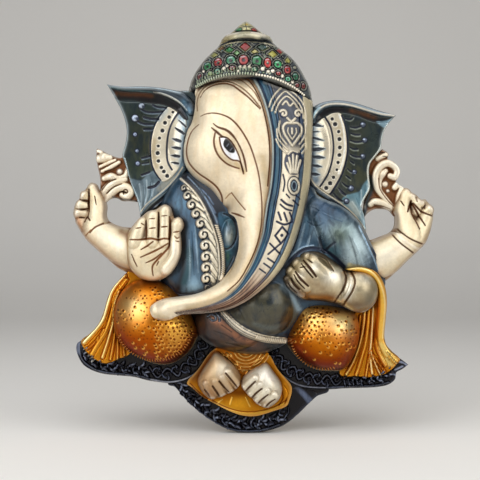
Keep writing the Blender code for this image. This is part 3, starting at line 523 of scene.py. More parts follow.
def face(f):
    """The bare side of the head and the trunk: its cuts, its eye and its mouth."""
    u, v = f.u, f.v
    f.level = head_level(u, v) - 0.6
    tip = tube(u, v, [(186, 303.5, 60, 7.5), (170, 307, 60.5, 10.2), (160, 308.5, 58, 8)])
    f.level = np.minimum(blend(f.level, tip, 3), 71.6)
    f.level = np.maximum(f.level, 24)
    f.mist([(212, 100), (232, 100), (246, 116), (256, 140)], 14, "#DCCDAF", 0.6)
    # Painted shade along the edges of the trunk and the forehead, under the tip of the trunk and round the
    # eye
    f.mist([(236, 222), (239, 240), (234, 262), (222, 279), (205, 289)], 4.5, TAN, 0.75)
    f.mist(
        [(262, 160), (266, 190), (262, 220), (256, 246), (240, 276), (222, 294), (190, 305)], 4.0, GOLD_TAN,
        0.55,
    )
    f.mist([(170, 315), (158, 312), (153, 306)], 2.6, TAN, 0.7)
    f.mist([(186, 136), (184, 156), (190, 174), (206, 187), (219, 201)], 2.4, "#B9BDB4", 0.6)
    f.mist([(196, 96), (196, 110), (193, 123)], 2.2, TAN, 0.8)
    f.mist([(236, 166), (244, 174)], 3, GOLD_TAN, 0.6)
    f.mist([(222, 136), (232, 142), (240, 156)], 2.4, TAN, 0.6)
    f.mist([(217, 145), (221, 157), (231, 166)], 2.6, TAN, 0.6)
    f.fill(
        [(217, 136), (226, 134), (237, 144), (243, 160), (240, 170), (228, 166), (218, 156)], None, 1, 9, 1.6,
    )
    cut = dict(taper=(0.35, 1, 1, 0.5))
    f.stroke([
        (198, 113), (197.5, 105), (199.5, 97), (204, 90.5), (211, 85.6), (220, 83.6), (230, 84.6), (239, 89),
        (247, 96), (254, 104), (260, 112),
    ], 1.5, -0.9, "#7A5330", strength=0.85)
    f.stroke([
        (201, 100), (204.5, 94), (210, 89.6), (217, 87), (226, 86.4), (233.5, 89), (241, 95), (248.5, 101.6),
        (254.5, 108), (259.5, 113),
    ], 1.9, -1.1, BROWN, **cut)
    f.stroke(
        [(222, 80.6), (232, 80), (240, 82.6), (247, 88), (254, 96), (259, 105)], 1.2, -0.7, "#8A5A2A",
        strength=0.8,
    )
    f.stroke([
        (243, 80), (249, 84), (254, 91), (258.5, 100), (262, 110), (265, 122), (267.5, 136), (268.8, 150),
        (268.8, 166), (266.8, 188),
    ], 1.7, -0.9, BROWN)
    f.stroke([
        (201.5, 119), (206, 117.3), (213, 116.6), (221, 118), (230, 122), (238, 129.6), (245, 140),
        (250, 150), (254, 161.5), (257.6, 175), (259.8, 190), (261, 205), (261, 220), (259, 235),
        (254.5, 250), (247, 266), (239, 279), (228, 289),
    ], 1.5, -0.9, BROWN, taper=(0.4, 1.2, 1, 0.9, 0.8, 0.8, 0.7))
    f.stroke([
        (199.6, 127), (194, 131.5), (190.2, 138), (187.8, 147), (187.4, 155.5), (189.4, 163), (194, 169.6),
        (200, 175.2), (208, 180.6), (215, 186), (219.8, 192), (222.2, 198), (222.6, 205),
    ], 1.7, -1.0, BROWN, taper=(0.4, 1, 1, 1, 1.2, 0.9))
    f.stroke([
        (214, 127), (219, 130.8), (226, 133.4), (231, 137), (236, 143), (240, 150.4), (243, 158), (245, 166),
        (246.4, 174),
    ], 2.5, -1.0, LASH_BROWN, taper=(0.3, 0.9, 1.1, 0.6, 0.7, 0.9, 0.4))
    f.stroke(
        [(212.4, 131), (217, 135), (222, 139.4), (226.5, 141.5)], 2.4, -1.0, LASH_BROWN,
        taper=(0.4, 1, 0.9, 0.5),
    )
    f.stroke(
        [(215.8, 136.4), (214.6, 144), (216, 152), (220, 159.6), (227, 166), (233.6, 169.2), (239, 171)], 1.8,
        -0.9, BROWN, taper=(0.8, 1, 1, 0.8),
    )
    f.fill([
        (220.4, 141, CORNER), (224, 140.8), (228, 142), (233, 148), (237, 156), (239.4, 163.4, CORNER),
        (234, 163), (228, 160), (224, 155), (221.5, 148),
    ], "#EEF0F6", 1, 0.7, 0.5)
    f.fill([
        (223.8, 146), (226, 142), (229.4, 143.4), (233, 148), (235.2, 153), (234, 156), (229.6, 155.4),
        (226, 152), (224, 149),
    ], "#0A0A0E", 1, 0.7, 0.2)
    # Painted highlights in the iris
    f.strokes([[(227.4, 149.6), (229, 147.4)], [(230.6, 153.6), (232.4, 151.4)]], 0.9, 0.2, "#5E6270")
    f.stroke([
        (220.2, 141), (221.4, 148.6), (225.4, 156.8), (232, 162.4), (239.4, 164.2), (242, 170), (243.4, 176),
    ], 1.5, -0.9, BROWN)
    f.stroke(
        [(221, 140.6), (226.6, 140.9), (231.6, 145), (236, 152.2), (239.4, 160), (241, 166), (243, 174)], 1.4,
        -0.9, LASH_BROWN,
    )
    f.stroke([(226, 199.4), (229, 196), (231.8, 194.2)], 1.0, -0.5, "#8A6238")
    f.stroke([(231.8, 194.2), (236, 200), (240.4, 205.6), (244.8, 210.8)], 1.3, -0.7, "#7A5330")
    f.stroke([(232, 213.6), (237, 215.2), (244, 218.2)], 2.2, -1.0, BROWN, taper=(0.6, 1, 0.4))
    # Painted shade in the recess where the trunk meets the cheek
    f.spot(226, 209, 4, 3.2, DEEP_BROWN, 0.9)


def across_veil(f):
    """How far across and how far down the veil each place lies, as shares."""
    left, _ = nearest(f.u, f.v, curve(VEIL_LEFT))
    right, share = nearest(f.u, f.v, curve(VEIL_RIGHT))
    return left / np.maximum(left + right, 1e-6), share


VEIL_BANDS = [
    (-0.1, 0.275, "#24465E", 1, 0), (-0.1, 0.04, "#8A6A40", 0.9, 0.3), (0.04, 0.085, "#A9B4AC", 0.7, 1.0),
    (0.085, 0.12, PANEL_NAVY, 1, -0.8), (0.12, 0.19, "#22546C", 0.9, 1.0),
    (0.185, 0.205, "#8FB0C0", 0.7, 0.3),
    (0.205, 0.225, PANEL_NAVY, 0.9, -0.6), (0.225, 0.262, "#2E5474", 0.9, 0.6),
    (0.255, 0.275, "#141D36", 1, -0.9),
    (0.275, 0.70, "#E6DAC2", 1, 0.7), (0.69, 0.715, PANEL_NAVY, 1, -0.9), (0.71, 0.79, "#5A7690", 0.9, 0.4),
    (0.785, 0.805, "#22304A", 0.9, -0.7), (0.80, 1.1, "#D0C4A2", 1, 1.2), (0.955, 1.1, "#8E8468", 0.8, -0.3),
]
PANEL_RAISED = [
    ([
        (268, 111), (271, 103), (276, 95.6), (283, 89.4), (290, 93.6), (297, 99.6), (302, 107), (304.6, 117),
        (305, 129),
    ], 1.7),
    ([
        (270.6, 115), (274, 106.6), (279, 99.4), (284.4, 94.6), (290, 98.6), (296, 104.4), (300.6, 112),
        (302, 121),
    ], 1.7),
    (
        [(274, 117), (276.6, 109.6), (280.6, 103.6), (285.4, 99.8), (290.4, 103), (295, 108.6), (299, 114.6)],
        1.7,
    ),
    ([(281.4, 108.4), (285, 104.8), (288.6, 109.4), (292.4, 106.4), (295.4, 110.4)], 1.9),
    ([(285.8, 121.4), (290, 124.8), (294, 121.6)], 2.4),
    ([(290, 126.6), (285, 126.6), (281.8, 130.6), (283, 137), (286.6, 142.8), (290.8, 148.6)], 2.5),
    ([(290.6, 126.6), (296, 126.2), (300, 130), (299.6, 136), (295.8, 142), (291, 148.6)], 2.5),
    ([(286.8, 131.4), (286.6, 136), (290.6, 142.4)], 1.5),
    ([(294.6, 131.4), (294.8, 136), (290.6, 142.4)], 1.5),
    ([(290.6, 131.6), (290.7, 136.6)], 2.2),
    ([(278.6, 125), (277.4, 133), (279.6, 140.4), (285, 147.4)], 1.9),
    ([(303, 125), (304.2, 133), (302.4, 140), (298, 146.6)], 1.8),
    ([(275.6, 133), (276.4, 141), (280.6, 147.4), (286.6, 152.8)], 1.7),
    ([(274.6, 143), (278.6, 150.6), (284, 156)], 1.7),
    ([(303, 146), (298.6, 151.6)], 1.8), ([(304, 151), (300.6, 155.4)], 1.8),
]
PANEL_CUTS = [
    ([(279.6, 201.4), (284.6, 205.4), (290.6, 207.2)], 2.6),
    ([(278.8, 206), (284.2, 210.2), (289.8, 211.6)], 2.2),
    ([(291.4, 201.6), (296.6, 206.2)], 2.2), ([(294.6, 197), (298.2, 200.2)], 2.0),
    ([(276.8, 213.6), (279.4, 220.8)], 2.6), ([(282.4, 213.8), (285.4, 222)], 2.4),
    ([(288, 213.6), (290.8, 220.6)], 2.4),
    ([(275.2, 222.4), (282.8, 225.2), (290.6, 222.4)], 2.6),
    ([
        (280.6, 227.4, CORNER), (286.8, 234.4, CORNER), (279.4, 243.4, CORNER), (273.6, 236, CORNER),
        (280.6, 227.4),
    ], 2.6),
    ([(268.6, 243.4), (278.4, 253.4)], 2.4), ([(278.6, 243.8), (267, 253.6)], 2.4),
    ([(266.6, 257.6), (272.6, 261.6)], 2.3), ([(262.8, 262.4), (268.8, 266.6)], 2.2),
    ([(258.8, 267.6), (264.4, 271.6)], 2.0),
    ([(281.4, 177), (283, 185), (281.6, 193)], 1.9), ([(284.6, 196), (288, 199.4)], 1.7),
]


def veil(f):
    """The painted bands that run from the crown down the trunk, with a carved panel between them."""
    f.level = head_level(f.u, f.v)
    s, down = across_veil(f)
    wide = np.interp(down, [0, 0.5, 0.75, 1], [42, 40, 24, 4])
    for start, end, colour, strength, rise in VEIL_BANDS:
        cover = np.clip((s - start) / 0.03 + 0.5, 0, 1) * np.clip((end - s) / 0.03 + 0.5, 0, 1)
        f.tint(slice(None), cover * strength, colour)
        share = (s - (start + end) / 2) / ((end - start) / 2)
        f.level += rise * np.sqrt(np.clip(1 - share**2, 0, 1))
    upper = np.clip((154 - f.v) / 8, 0, 1) * np.clip(
        (s - 0.26) / 0.03, 0, 1,
    ) * np.clip((0.80 - s) / 0.03, 0, 1)
    f.tint(slice(None), upper * 0.92, "#22344E")
    f.level -= 0.5 * upper
    lower = np.clip((down - 0.62) / 0.12, 0, 1)
    f.tint(slice(None), lower * (s > 0.30) * 0.85, COPPER)
    f.tint(slice(None), np.clip((down - 0.8) / 0.1, 0, 1) * 0.7 * (s > 0.1), "#7A4C30")
    for share in (0.36, 0.50, 0.66, 0.80, 0.9):
        cover = np.exp(-(((s - share) * wide) ** 2) / 0.6) * lower
        f.tint(slice(None), cover * 0.8, "#3E2A22")
        f.level -= 0.8 * cover
    f.level = np.clip(f.level + 0.9, 30, 72.5)
    for line, width in PANEL_RAISED:
        f.stroke(line, width, 1.2, "#DDD3BC", strength=0.95)
    for column, row, hand, start in ((282.4, 117.4, 1, -2.6), (296.6, 117, -1, -0.5)):
        f.dots([(column, row, 4.6)], 0.3, PANEL_NAVY)
        f.spiral((column, row), 4.0, 1.0, start, 2.3, 1.2, "#E2D8C2", hand)
    f.fill([
        (282.6, 166), (284.4, 158), (290.6, 152.6), (297.6, 154.6), (302, 161), (300, 169), (296.4, 176),
        (289, 176.6), (285, 172.6),
    ], "#22304E", 0.95, 0.8, -0.5)
    f.strokes([
        [(285.6, 166), (288.8, 175)], [(287.4, 160.6), (290.2, 174.6)], [(291.4, 157.4), (291.8, 174.6)],
        [(295.4, 158.4), (293.6, 174.6)], [(298.8, 162.4), (295.4, 174.6)],
    ], 2.3, 1.3, CARVED_CREAM)
    f.stroke([(286.6, 157), (290.8, 153.6), (296, 154.6)], 1.9, 1.2, CARVED_CREAM)
    for radii, kind, colour in (
        ((6.9, 9.8), "fill", "#20283C"), ((4.9, 7.4), "line", CARVED_CREAM), ((2.4, 4.2), "line", PALE_BLUE),
    ):
        ring = [
            (292.4 + radii[0] * math.cos(a), 187.6 + radii[1] * math.sin(a))
            for a in np.arange(12) * math.pi / 6
        ]
        if kind == "fill":
            f.fill(ring, colour, 1, 0.8, -0.6)
        else:
            f.stroke(ring, 2.3 if radii[0] > 3 else 1.2, 1.2, colour, closed=True)
    for line, width in PANEL_CUTS:
        f.stroke(line, 0.8 * width, -0.9, "#1E2746")
    f.dots([(280.2, 235.6, 1.6)], -0.7, "#1E2746")


def edge_of(left, right):
    """A closed outline from a left and a right edge, with sharp corners at their ends."""
    return [(*p, *((CORNER,) if i in (0, len(left) - 1) else ())) for i, p in enumerate(left)] + [
        (*p, *((CORNER,) if i in (0, len(right) - 1) else ())) for i, p in enumerate(reversed(right))
    ]


piece("face_and_trunk", FACE, face, 0.55, "cream_lacquer", CREAM)
piece("veil", edge_of(VEIL_LEFT, VEIL_RIGHT), veil, 0.48, "veil_lacquer", BLUE)

# The ears

LEFT_EAR = [
    (107, 84.5, CORNER), (122, 86.5), (140, 86), (158, 87), (175, 90), (196, 94), (202, 130), (192, 165),
    (182, 178), (170, 195), (155, 208), (140, 219, CORNER), (137.5, 203), (132, 188.5), (128, 176),
    (124, 163), (121.5, 155), (124.5, 143), (126, 131), (124, 119), (120, 108), (114, 97),
]
RIGHT_EAR = [
    (310, 110), (315, 105.5), (321, 102.5), (330, 100.3), (340, 99.5), (352, 101), (365, 104.8), (380, 110),
    (396, 115.4, CORNER), (390, 122.5), (385, 131), (382.5, 141), (381.5, 149), (376, 156.5), (371, 164),
    (370, 176), (371, 188), (366, 198), (362.5, 206), (365, 216), (366.5, 228), (367.6, 243, CORNER),
    (357, 226), (346, 213), (334, 203), (320, 194), (306, 182), (300, 165), (300, 130),
]


def teardrop(f, start, end, width, colour, rim):
    """One of the pointed cuts along an ear's pale band."""
    f.stroke([start, end], width + 1.6, 0.3, rim, taper=(0.5, 1.1, 0.7), strength=0.7)
    f.stroke([start, end], width, -0.9, colour, taper=(0.25, 1, 0.9))


def left_ear(f):
    """The ear at the left: a shallow bowl, a pale band with holes, a rolled top and a folded foot."""
    u, v = f.u, f.v
    root = ball(u, v, (190, 140, 8), (24, 42, 16))
    bowl = 14.2 + 0.0016 * (u - 150) ** 2 + 0.0007 * (v - 150) ** 2
    f.level = np.minimum(blend(bowl, root, 4), 25)
    f.spot(140, 118, 34, 26, "#242F2A", 0.85)
    f.spot(140, 150, 24, 30, "#3A3C28", 0.85)
    f.spot(138, 168, 18, 14, "#3A4636", 0.7)
    pale = [
        (129, 179.6), (140, 180), (147, 174), (153, 170.6), (158, 177), (168, 181), (180, 166), (186, 160),
        (190, 175), (165, 205), (139, 225), (134, 200),
    ]
    f.fill(pale, "#728690", 1, 1.4)
    f.strokes([
        [(139, 184), (141, 196), (141, 208)], [(146, 180), (147, 194), (144, 206)], [(154, 184), (152, 196)],
    ], 1.6, 0.2, "#A9B8BE", strength=0.6)
    f.strokes(
        [[(142.6, 184), (144, 198), (142.6, 210)], [(150, 182), (150, 194), (147, 202)]], 1.4, -0.3,
        "#3E5560", strength=0.6,
    )
    f.mist([(140, 186), (143, 200), (142, 212)], 4, "#8C9CA4", 0.4)
    f.mist([(160, 188), (171, 178)], 4, "#B5B09C", 0.6)
    band = [
        (166.5, 107), (159, 117), (153.6, 128), (151, 140), (150.6, 152), (152, 164), (155.4, 172),
        (161, 180.6), (168, 179), (177, 170), (182, 160), (184, 145), (185.6, 130), (186, 120), (180, 111.6),
        (174, 107.6),
    ]
    f.fill(band, "#E6DCC4", 1, 0.9, 0.8)
    f.mist([(154, 140), (153, 152), (156, 166)], 3, "#C4AE84", 0.7)
    f.mist([(166, 110), (159, 119)], 3, "#B9C4C4", 0.7)
    f.mist([(180, 116), (184, 126), (183, 140), (182.6, 152), (181, 164)], 4, "#6F8FA3", 0.85)
    f.stroke([
        (165.6, 107.5), (158, 117), (152.6, 128), (150, 140), (149.8, 152), (151.2, 164), (154.8, 172.6),
        (160.4, 180),
    ], 1.5, -1.0, NAVY)
    f.stroke([
        (179, 111.4), (174.4, 117.6), (170.6, 124.6), (168, 133), (166.6, 143), (166.4, 153), (167.6, 162),
        (171.6, 169.4),
    ], 1.9, -1.1, "#1E2A4C")
    f.dots([
        (172.6, 111.6, 1.5), (168.8, 116.4, 1.9), (164.6, 122.2, 2.1), (162, 130, 2.2), (159, 137.6, 1.7),
        (157.8, 145.5, 1.6), (157.2, 152.6, 2.2), (158, 160.6, 1.9), (161, 167.2, 1.9), (163.4, 171.2, 2.0),
        (166.8, 175.6, 2.1),
    ], -1.2, "#10131C", "#F4ECD8", 0.9)
    for start, end, width in (
        ((175, 127.6), (184, 134), 3.0), ((172, 138.4), (180.4, 141.4), 3.4),
        ((171.4, 147), (180, 148.6), 3.2),
        ((170.6, 155), (179, 156.4), 3.2), ((171, 162), (178, 163.4), 2.6), ((178, 119.4), (186, 127), 2.2),
    ):
        teardrop(f, start, end, width, "#141826", "#DDE0DC")
    f.stroke([(175.6, 128), (179, 131), (182.6, 132)], 1.4, -0.6, "#141826")
    arcs = [
        ([(152, 103.8), (157, 106.2), (166, 107)], 1.9),
        ([(140, 108), (145, 110.8), (152, 111.6), (162, 111)], 2.1),
        ([(143, 116.4), (150, 118), (158, 118.4)], 2.4), ([(137, 120.6), (143, 123), (152, 123.4)], 2.1),
        ([(143, 128.4), (151, 128.4)], 2.0), ([(141, 157.6), (150, 155.4)], 2.0),
        ([(141, 174.6), (149, 171.6)], 2.2),
        ([(148, 187.4), (154, 186), (158.4, 181.6)], 3.0), ([(141, 163), (148, 162)], 1.4),
    ]
    # Each cut gets a painted highlight along its lower edge
    for line, width in arcs:
        f.stroke(shifted(line, 0.6, 1.6), width * 0.6, 0.3, "#6F8296", strength=0.6)
        f.stroke(line, width, -0.9, "#10162A")
    f.dots([(141, 105, 2.6), (134.4, 117.4, 3.0)], 1.3, "#AEBBD2", "#141A26", 1.2)
    f.dots([(142.6, 106, 1.4), (136.4, 118, 1.6)], -0.3, "#2A3550")
    f.dots([(134.4, 133.8, 1.6), (136.4, 150.4, 1.5), (137, 163, 1.8)], 0.7, "#7D8AA6", "#1E2536", 1.2)
    f.strokes(
        [[(118, 107), (122, 116), (124.6, 126), (124.8, 136), (123.4, 146), (120.6, 156)]], 1.2, 0.6,
        "#A9B0A8", strength=0.8,
    )
    f.stroke(
        [(124, 158), (126.4, 168), (129.4, 180), (134, 191), (138.6, 203), (140.4, 214)], 1.3, 0.6, "#9FB4BC",
        strength=0.85,
    )
    # Painted shadow under the rolled top edge: black, and brown nearer the rim
    f.fill([
        (107, 85), (120, 90.6), (140, 91.6), (155, 92.6), (168, 97.6), (180, 105), (188, 118), (184, 119),
        (176, 110.6), (164, 104.4), (150, 102.6), (136, 101), (121, 100.4), (114, 96),
    ], "#1B1719", 1, 1.0, -1.5)
    f.mist([(116, 93), (128, 93.6), (142, 93.8), (152, 95)], 2.2, "#5A3418", 0.9)
    f.mist([(120, 101), (128, 100), (140, 103)], 2.0, "#2C3A38", 0.6)
    # The rolled top edge, with painted highlight lines along it
    f.stroke(
        [(106, 84.5), (122, 87.4), (140, 87.6), (156, 88.6), (172, 93), (184, 99.6), (192, 110)], 6.0, 4.4,
        "#2B3844", taper=(0.3, 0.9, 1, 1, 1.6, 2.0, 2.0),
    )
    f.stroke([(108, 85), (125, 87), (150, 87.2), (166, 89.4), (180, 93)], 1.2, 0, "#7F93A0", strength=0.8)
    f.stroke([(108, 86), (122, 89.6), (140, 90.4), (153, 91.4)], 1.1, 0, "#6E98A0", strength=0.8)
    f.stroke(
        [(153, 91.6), (162, 93.6), (172, 97.6), (181, 103.6), (187, 110.6)], 1.8, 0.9, "#D9DAD2",
        taper=(0.4, 1, 1, 0.8),
    )
    f.mist([(184, 102), (189, 112)], 3.4, "#3F6C86", 0.7)
    # The folded lower edge, with painted shade in the groove below it
    fold = [(184, 168), (177, 178), (168, 188), (157, 197.4), (148, 205), (141, 214)]
    f.stroke(shifted(fold, 5.2, 3.4), 8, -1.4, "#12161F")
    f.stroke(fold, 5.0, 2.6, "#24404C", taper=(0.9, 1, 1, 0.7))
    f.stroke(shifted(fold, -1.5, -1.2), 1.3, 0.2, "#D8CDB4")
    f.stroke(shifted(fold, 1.4, 1.2), 1.1, 0.2, "#9FB3BC")
    f.stroke(shifted(fold, 4.8, 3.6), 1.2, 0.4, "#2E4A68", strength=0.8)
    f.drop_edge(1.8, 1.5)


def right_ear(f):
    """The ear at the right, seen wider, with rays of short cuts beside its band."""
    u, v = f.u, f.v
    root = ball(u, v, (306, 148, 8), (26, 46, 16))
    bowl = 14.6 + 0.0014 * (u - 345) ** 2 + 0.0006 * (v - 155) ** 2
    f.level = np.minimum(blend(bowl, root, 4), 25)
    f.spot(355, 140, 22, 30, "#373A2C", 0.9)
    f.spot(374, 140, 12, 26, "#32403F", 0.8)
    f.spot(358, 172, 16, 18, "#444833", 0.8)
    f.fill([
        (345, 196), (352, 193.6), (360, 191), (364, 184), (371, 178), (374, 190), (366, 206), (368, 245),
        (350, 214), (340, 206),
    ], "#6E93A0", 1, 1.6)
    f.strokes([
        [(353, 202), (360, 214), (364, 228)], [(362, 190), (362, 200), (361, 212)], [(368, 184), (369, 192)],
    ], 1.6, 0.2, "#B4C6CA", strength=0.6)
    f.strokes(
        [[(357, 198), (362, 212), (366, 226)], [(366, 190), (364, 202)]], 1.4, -0.3, "#3A6474", strength=0.6,
    )
    f.mist([(352, 204), (358, 214)], 4, "#C9CCBE", 0.6)
    band = [
        (326, 116.6), (333, 112.6), (341, 113), (346, 124), (347.8, 138), (348, 151), (345.6, 163),
        (341.6, 174), (335, 186), (329.6, 193.4), (321, 188), (311, 180), (309, 160), (309, 130), (316, 121),
    ]
    f.fill(band, "#E6DCC4", 1, 0.9, 0.8)
    f.mist([(312, 124), (312, 145), (313, 165), (316, 180)], 5.5, "#5F7F99", 0.9)
    f.mist([(336, 122), (342, 134)], 4, "#C4AE84", 0.5)
    f.stroke([
        (325.6, 117), (330.4, 125), (333, 135), (334, 148), (332.6, 160), (329.6, 171), (325, 179.6),
        (320.6, 186),
    ], 2.0, -1.1, "#161E3A")
    f.stroke([
        (342.4, 115), (346, 125), (348, 138), (348.2, 151), (346, 163), (342, 175), (336, 186), (330.6, 194),
    ], 2.0, -1.1, "#161E3A")
    f.stroke(
        [(339.6, 114.6), (343, 125), (345, 138), (345, 151), (343, 163), (339, 174)], 1.2, 0.4, "#CFD6D8",
        strength=0.7,
    )
    f.dots([
        (332.6, 118.4, 1.8), (335.6, 123.6, 2.3), (339.2, 131, 1.8), (340, 138.6, 2.2), (340.4, 147, 2.1),
        (340, 154.6, 2.1), (338.6, 162, 1.8), (337.4, 169.4, 1.5), (334, 177, 1.9), (330.6, 183, 2.3),
        (326.6, 187.8, 2.2),
    ], -1.2, "#10131C", "#F4ECD8", 0.9)
    for start, end, width in (
        ((311, 124), (323, 126), 3.6), ((311, 137.6), (324, 140.4), 2.6), ((313, 150), (325, 148.6), 4.2),
        ((313, 157), (325, 157.6), 3.6), ((313, 165.6), (322, 166.6), 3.2), ((312, 174), (320, 174.6), 3.6),
        ((311, 132), (320, 131.6), 1.4), ((311, 145), (319, 145.4), 1.4),
    ):
        teardrop(f, end, start, width, "#15202E", "#C3D2DA")
    rays = [
        ([(350.6, 126), (356, 127), (361.6, 125.4)], 2.0), ([(351.6, 132.6), (356, 134), (360.6, 134)], 2.2),
        ([(350.6, 139.6), (357, 141.4), (364, 140.6)], 2.2),
        ([(350.6, 146.6), (354, 148.4), (358.6, 148.4)], 2.0),
        ([(350.8, 153.6), (355, 155.8), (362, 156.6)], 2.2), ([(351, 160.4), (354.6, 163)], 1.8),
        ([(348, 168), (351.6, 171), (356, 172)], 2.0), ([(346.4, 174.8), (351, 178.4)], 1.9),
        ([(342.6, 182), (346.4, 185.4), (350, 187)], 2.0), ([(339.4, 188), (342, 191.6), (346, 194.6)], 2.8),
        ([(334, 193), (338.6, 198.4), (343, 201)], 2.4), ([(346, 117.6), (351, 118.6), (354, 116)], 2.0),
    ]
    # Each ray gets a painted highlight along its lower edge
    for line, width in rays:
        f.stroke(shifted(line, 0.4, 1.7), width * 0.6, 0.3, "#8C9482", strength=0.6)
        f.stroke(line, width, -0.9, "#10162A", taper=(0.6, 1, 0.8))
    for column, row, radius in (
        (363.6, 124, 2.4), (365.4, 139.6, 2.2), (363.6, 156, 2.2), (355, 171.6, 2.0), (351.6, 188, 2.6),
        (347, 201, 2.2),
    ):
        f.dots([(column, row, radius)], 1.0, "#39445E", "#141A26", 1.0)
        # A painted glint on each bead
        f.dots([(column - 0.6, row - 0.7, radius * 0.4)], 0.2, "#AEBBD2")
    # Painted shadow under the rolled top edge: black, and brown nearer the rim
    f.fill([
        (312, 126), (314, 119), (320, 111.6), (330, 107), (340, 106.6), (351, 108.4), (364, 112), (378, 117),
        (391, 118.4), (386, 122.6), (372, 120.4), (358, 115), (345, 112), (334, 112), (325, 115.6),
        (318, 122),
    ], "#1B1719", 1, 1.0, -1.4)
    f.mist([(352, 109.6), (364, 113), (376, 117)], 2.2, "#6A4020", 0.9)
    f.fill([(377, 121), (384, 120.4), (393, 118.6), (388, 123.6), (384, 127)], "#8FB0C0", 0.8, 1.2)
    # The rolled top edge, with a painted highlight line along it
    f.stroke([
        (312, 120), (315, 112.6), (322, 105.6), (331, 102.8), (342, 102.8), (354, 104.8), (368, 109),
        (382, 113.4), (397, 115.6),
    ], 6.0, 4.2, "#4A5E6C", taper=(1.4, 1.5, 1.2, 1, 0.9, 0.9, 0.5))
    f.stroke([
        (314, 117), (318, 110), (326, 104.8), (336, 103.4), (348, 104.4), (360, 107.6), (372, 111.4),
        (384, 114.4), (394, 115.6),
    ], 1.8, 0, "#E8E2D0", strength=0.9)
    f.stroke(
        [(318, 106.6), (327, 102.4), (340, 101.4), (354, 103.2), (368, 107.8), (384, 112.6)], 1.2, 0,
        "#28324A", strength=0.8,
    )
    f.stroke([(312.6, 119), (315.6, 112), (320, 107.6)], 2.0, 0.2, "#A8C8D4", strength=0.9)
    # The pale outer edge, and the dark wall below it
    edge = [
        (391, 121), (386, 128), (383, 137), (381.6, 147), (376.6, 154.6), (370.6, 162.4), (368.6, 170),
        (369.4, 180), (370, 188), (365, 197.6), (361.8, 206),
    ]
    f.stroke(edge, 1.9, 0.7, "#BDBBAA", taper=(0.7, 1, 1), strength=0.9)
    f.stroke(
        [(383.6, 148), (378.4, 157), (372.4, 164.6), (370.8, 176), (371.6, 188), (366.6, 198), (363, 207)],
        1.6, -0.8, "#232F56",
    )
    fold = [(309, 179), (315, 187), (325, 194.6), (338, 203), (350, 212.6), (359, 223), (366, 236)]
    # Painted shade in the groove below the fold
    f.stroke(shifted(fold, -3.4, 4.2), 8, -1.4, "#15141A")
    f.stroke(fold, 5.0, 2.6, "#27323C", taper=(0.9, 1, 1, 0.7))
    f.stroke(shifted(fold, 1.3, -1.4), 1.4, 0.2, "#E4D9BE")
    f.stroke(shifted(fold, -1.3, 1.4), 1.2, 0.2, "#B5BEC0")
    f.drop_edge(1.8, 1.5)


piece("left_ear", LEFT_EAR, left_ear, 0.55, "blue_lacquer", "#3C4A48")
piece("right_ear", RIGHT_EAR, right_ear, 0.55, "blue_lacquer", "#45493F")

# The body: chest, shoulder, belly, collar and belt

TORSO = [
    (172, 184), (184, 170), (200, 166), (300, 176), (318, 196), (336, 204), (350, 214), (361, 227),
    (369, 243),
    (378, 262), (386, 284), (372, 304), (330, 320), (286, 344), (264, 354), (240, 354), (213, 346),
    (198, 334),
    (188, 312), (168, 294), (158, 274), (158, 245), (158, 215), (164, 196),
]
BELT = [(221, 308), (227, 314.6), (234, 322), (244, 329.4), (256, 335), (269, 338.6), (285, 340.6)]
TWIST = [(217, 226), (220.4, 237), (222.6, 248), (223.6, 260), (223.4, 270), (221.6, 279)]
SHOULDER = [(316, 214, 20, 20), (338, 234, 24, 27), (358, 262, 22, 24), (366, 280, 18, 18)]


def curl(f, column, row, size, tail):
    """One scroll of the collar: a round head with a spiral cut in it, and a tail into the band."""
    f.dots([(column, row, size + 1.3)], 0, COLLAR_BLACK)
    if tail:
        sweep = [(column + 0.1 * size, row - 0.75 * size), (column + size, row - 0.1 * size), tail]
        f.stroke(sweep, size * 0.95 + 1.6, -0.3, COLLAR_BLACK, taper=(1, 0.9, 0.5))
        f.stroke(sweep, size * 0.95, 1.5, "#E2D8C0", taper=(1, 0.9, 0.5))
    f.dots([(column, row, size)], 2.0, "#EAE1CB")
    f.spiral((column, row), size * 0.98, 0.85, 1.9, 1.5, -1.9, "#141A2C", -1)


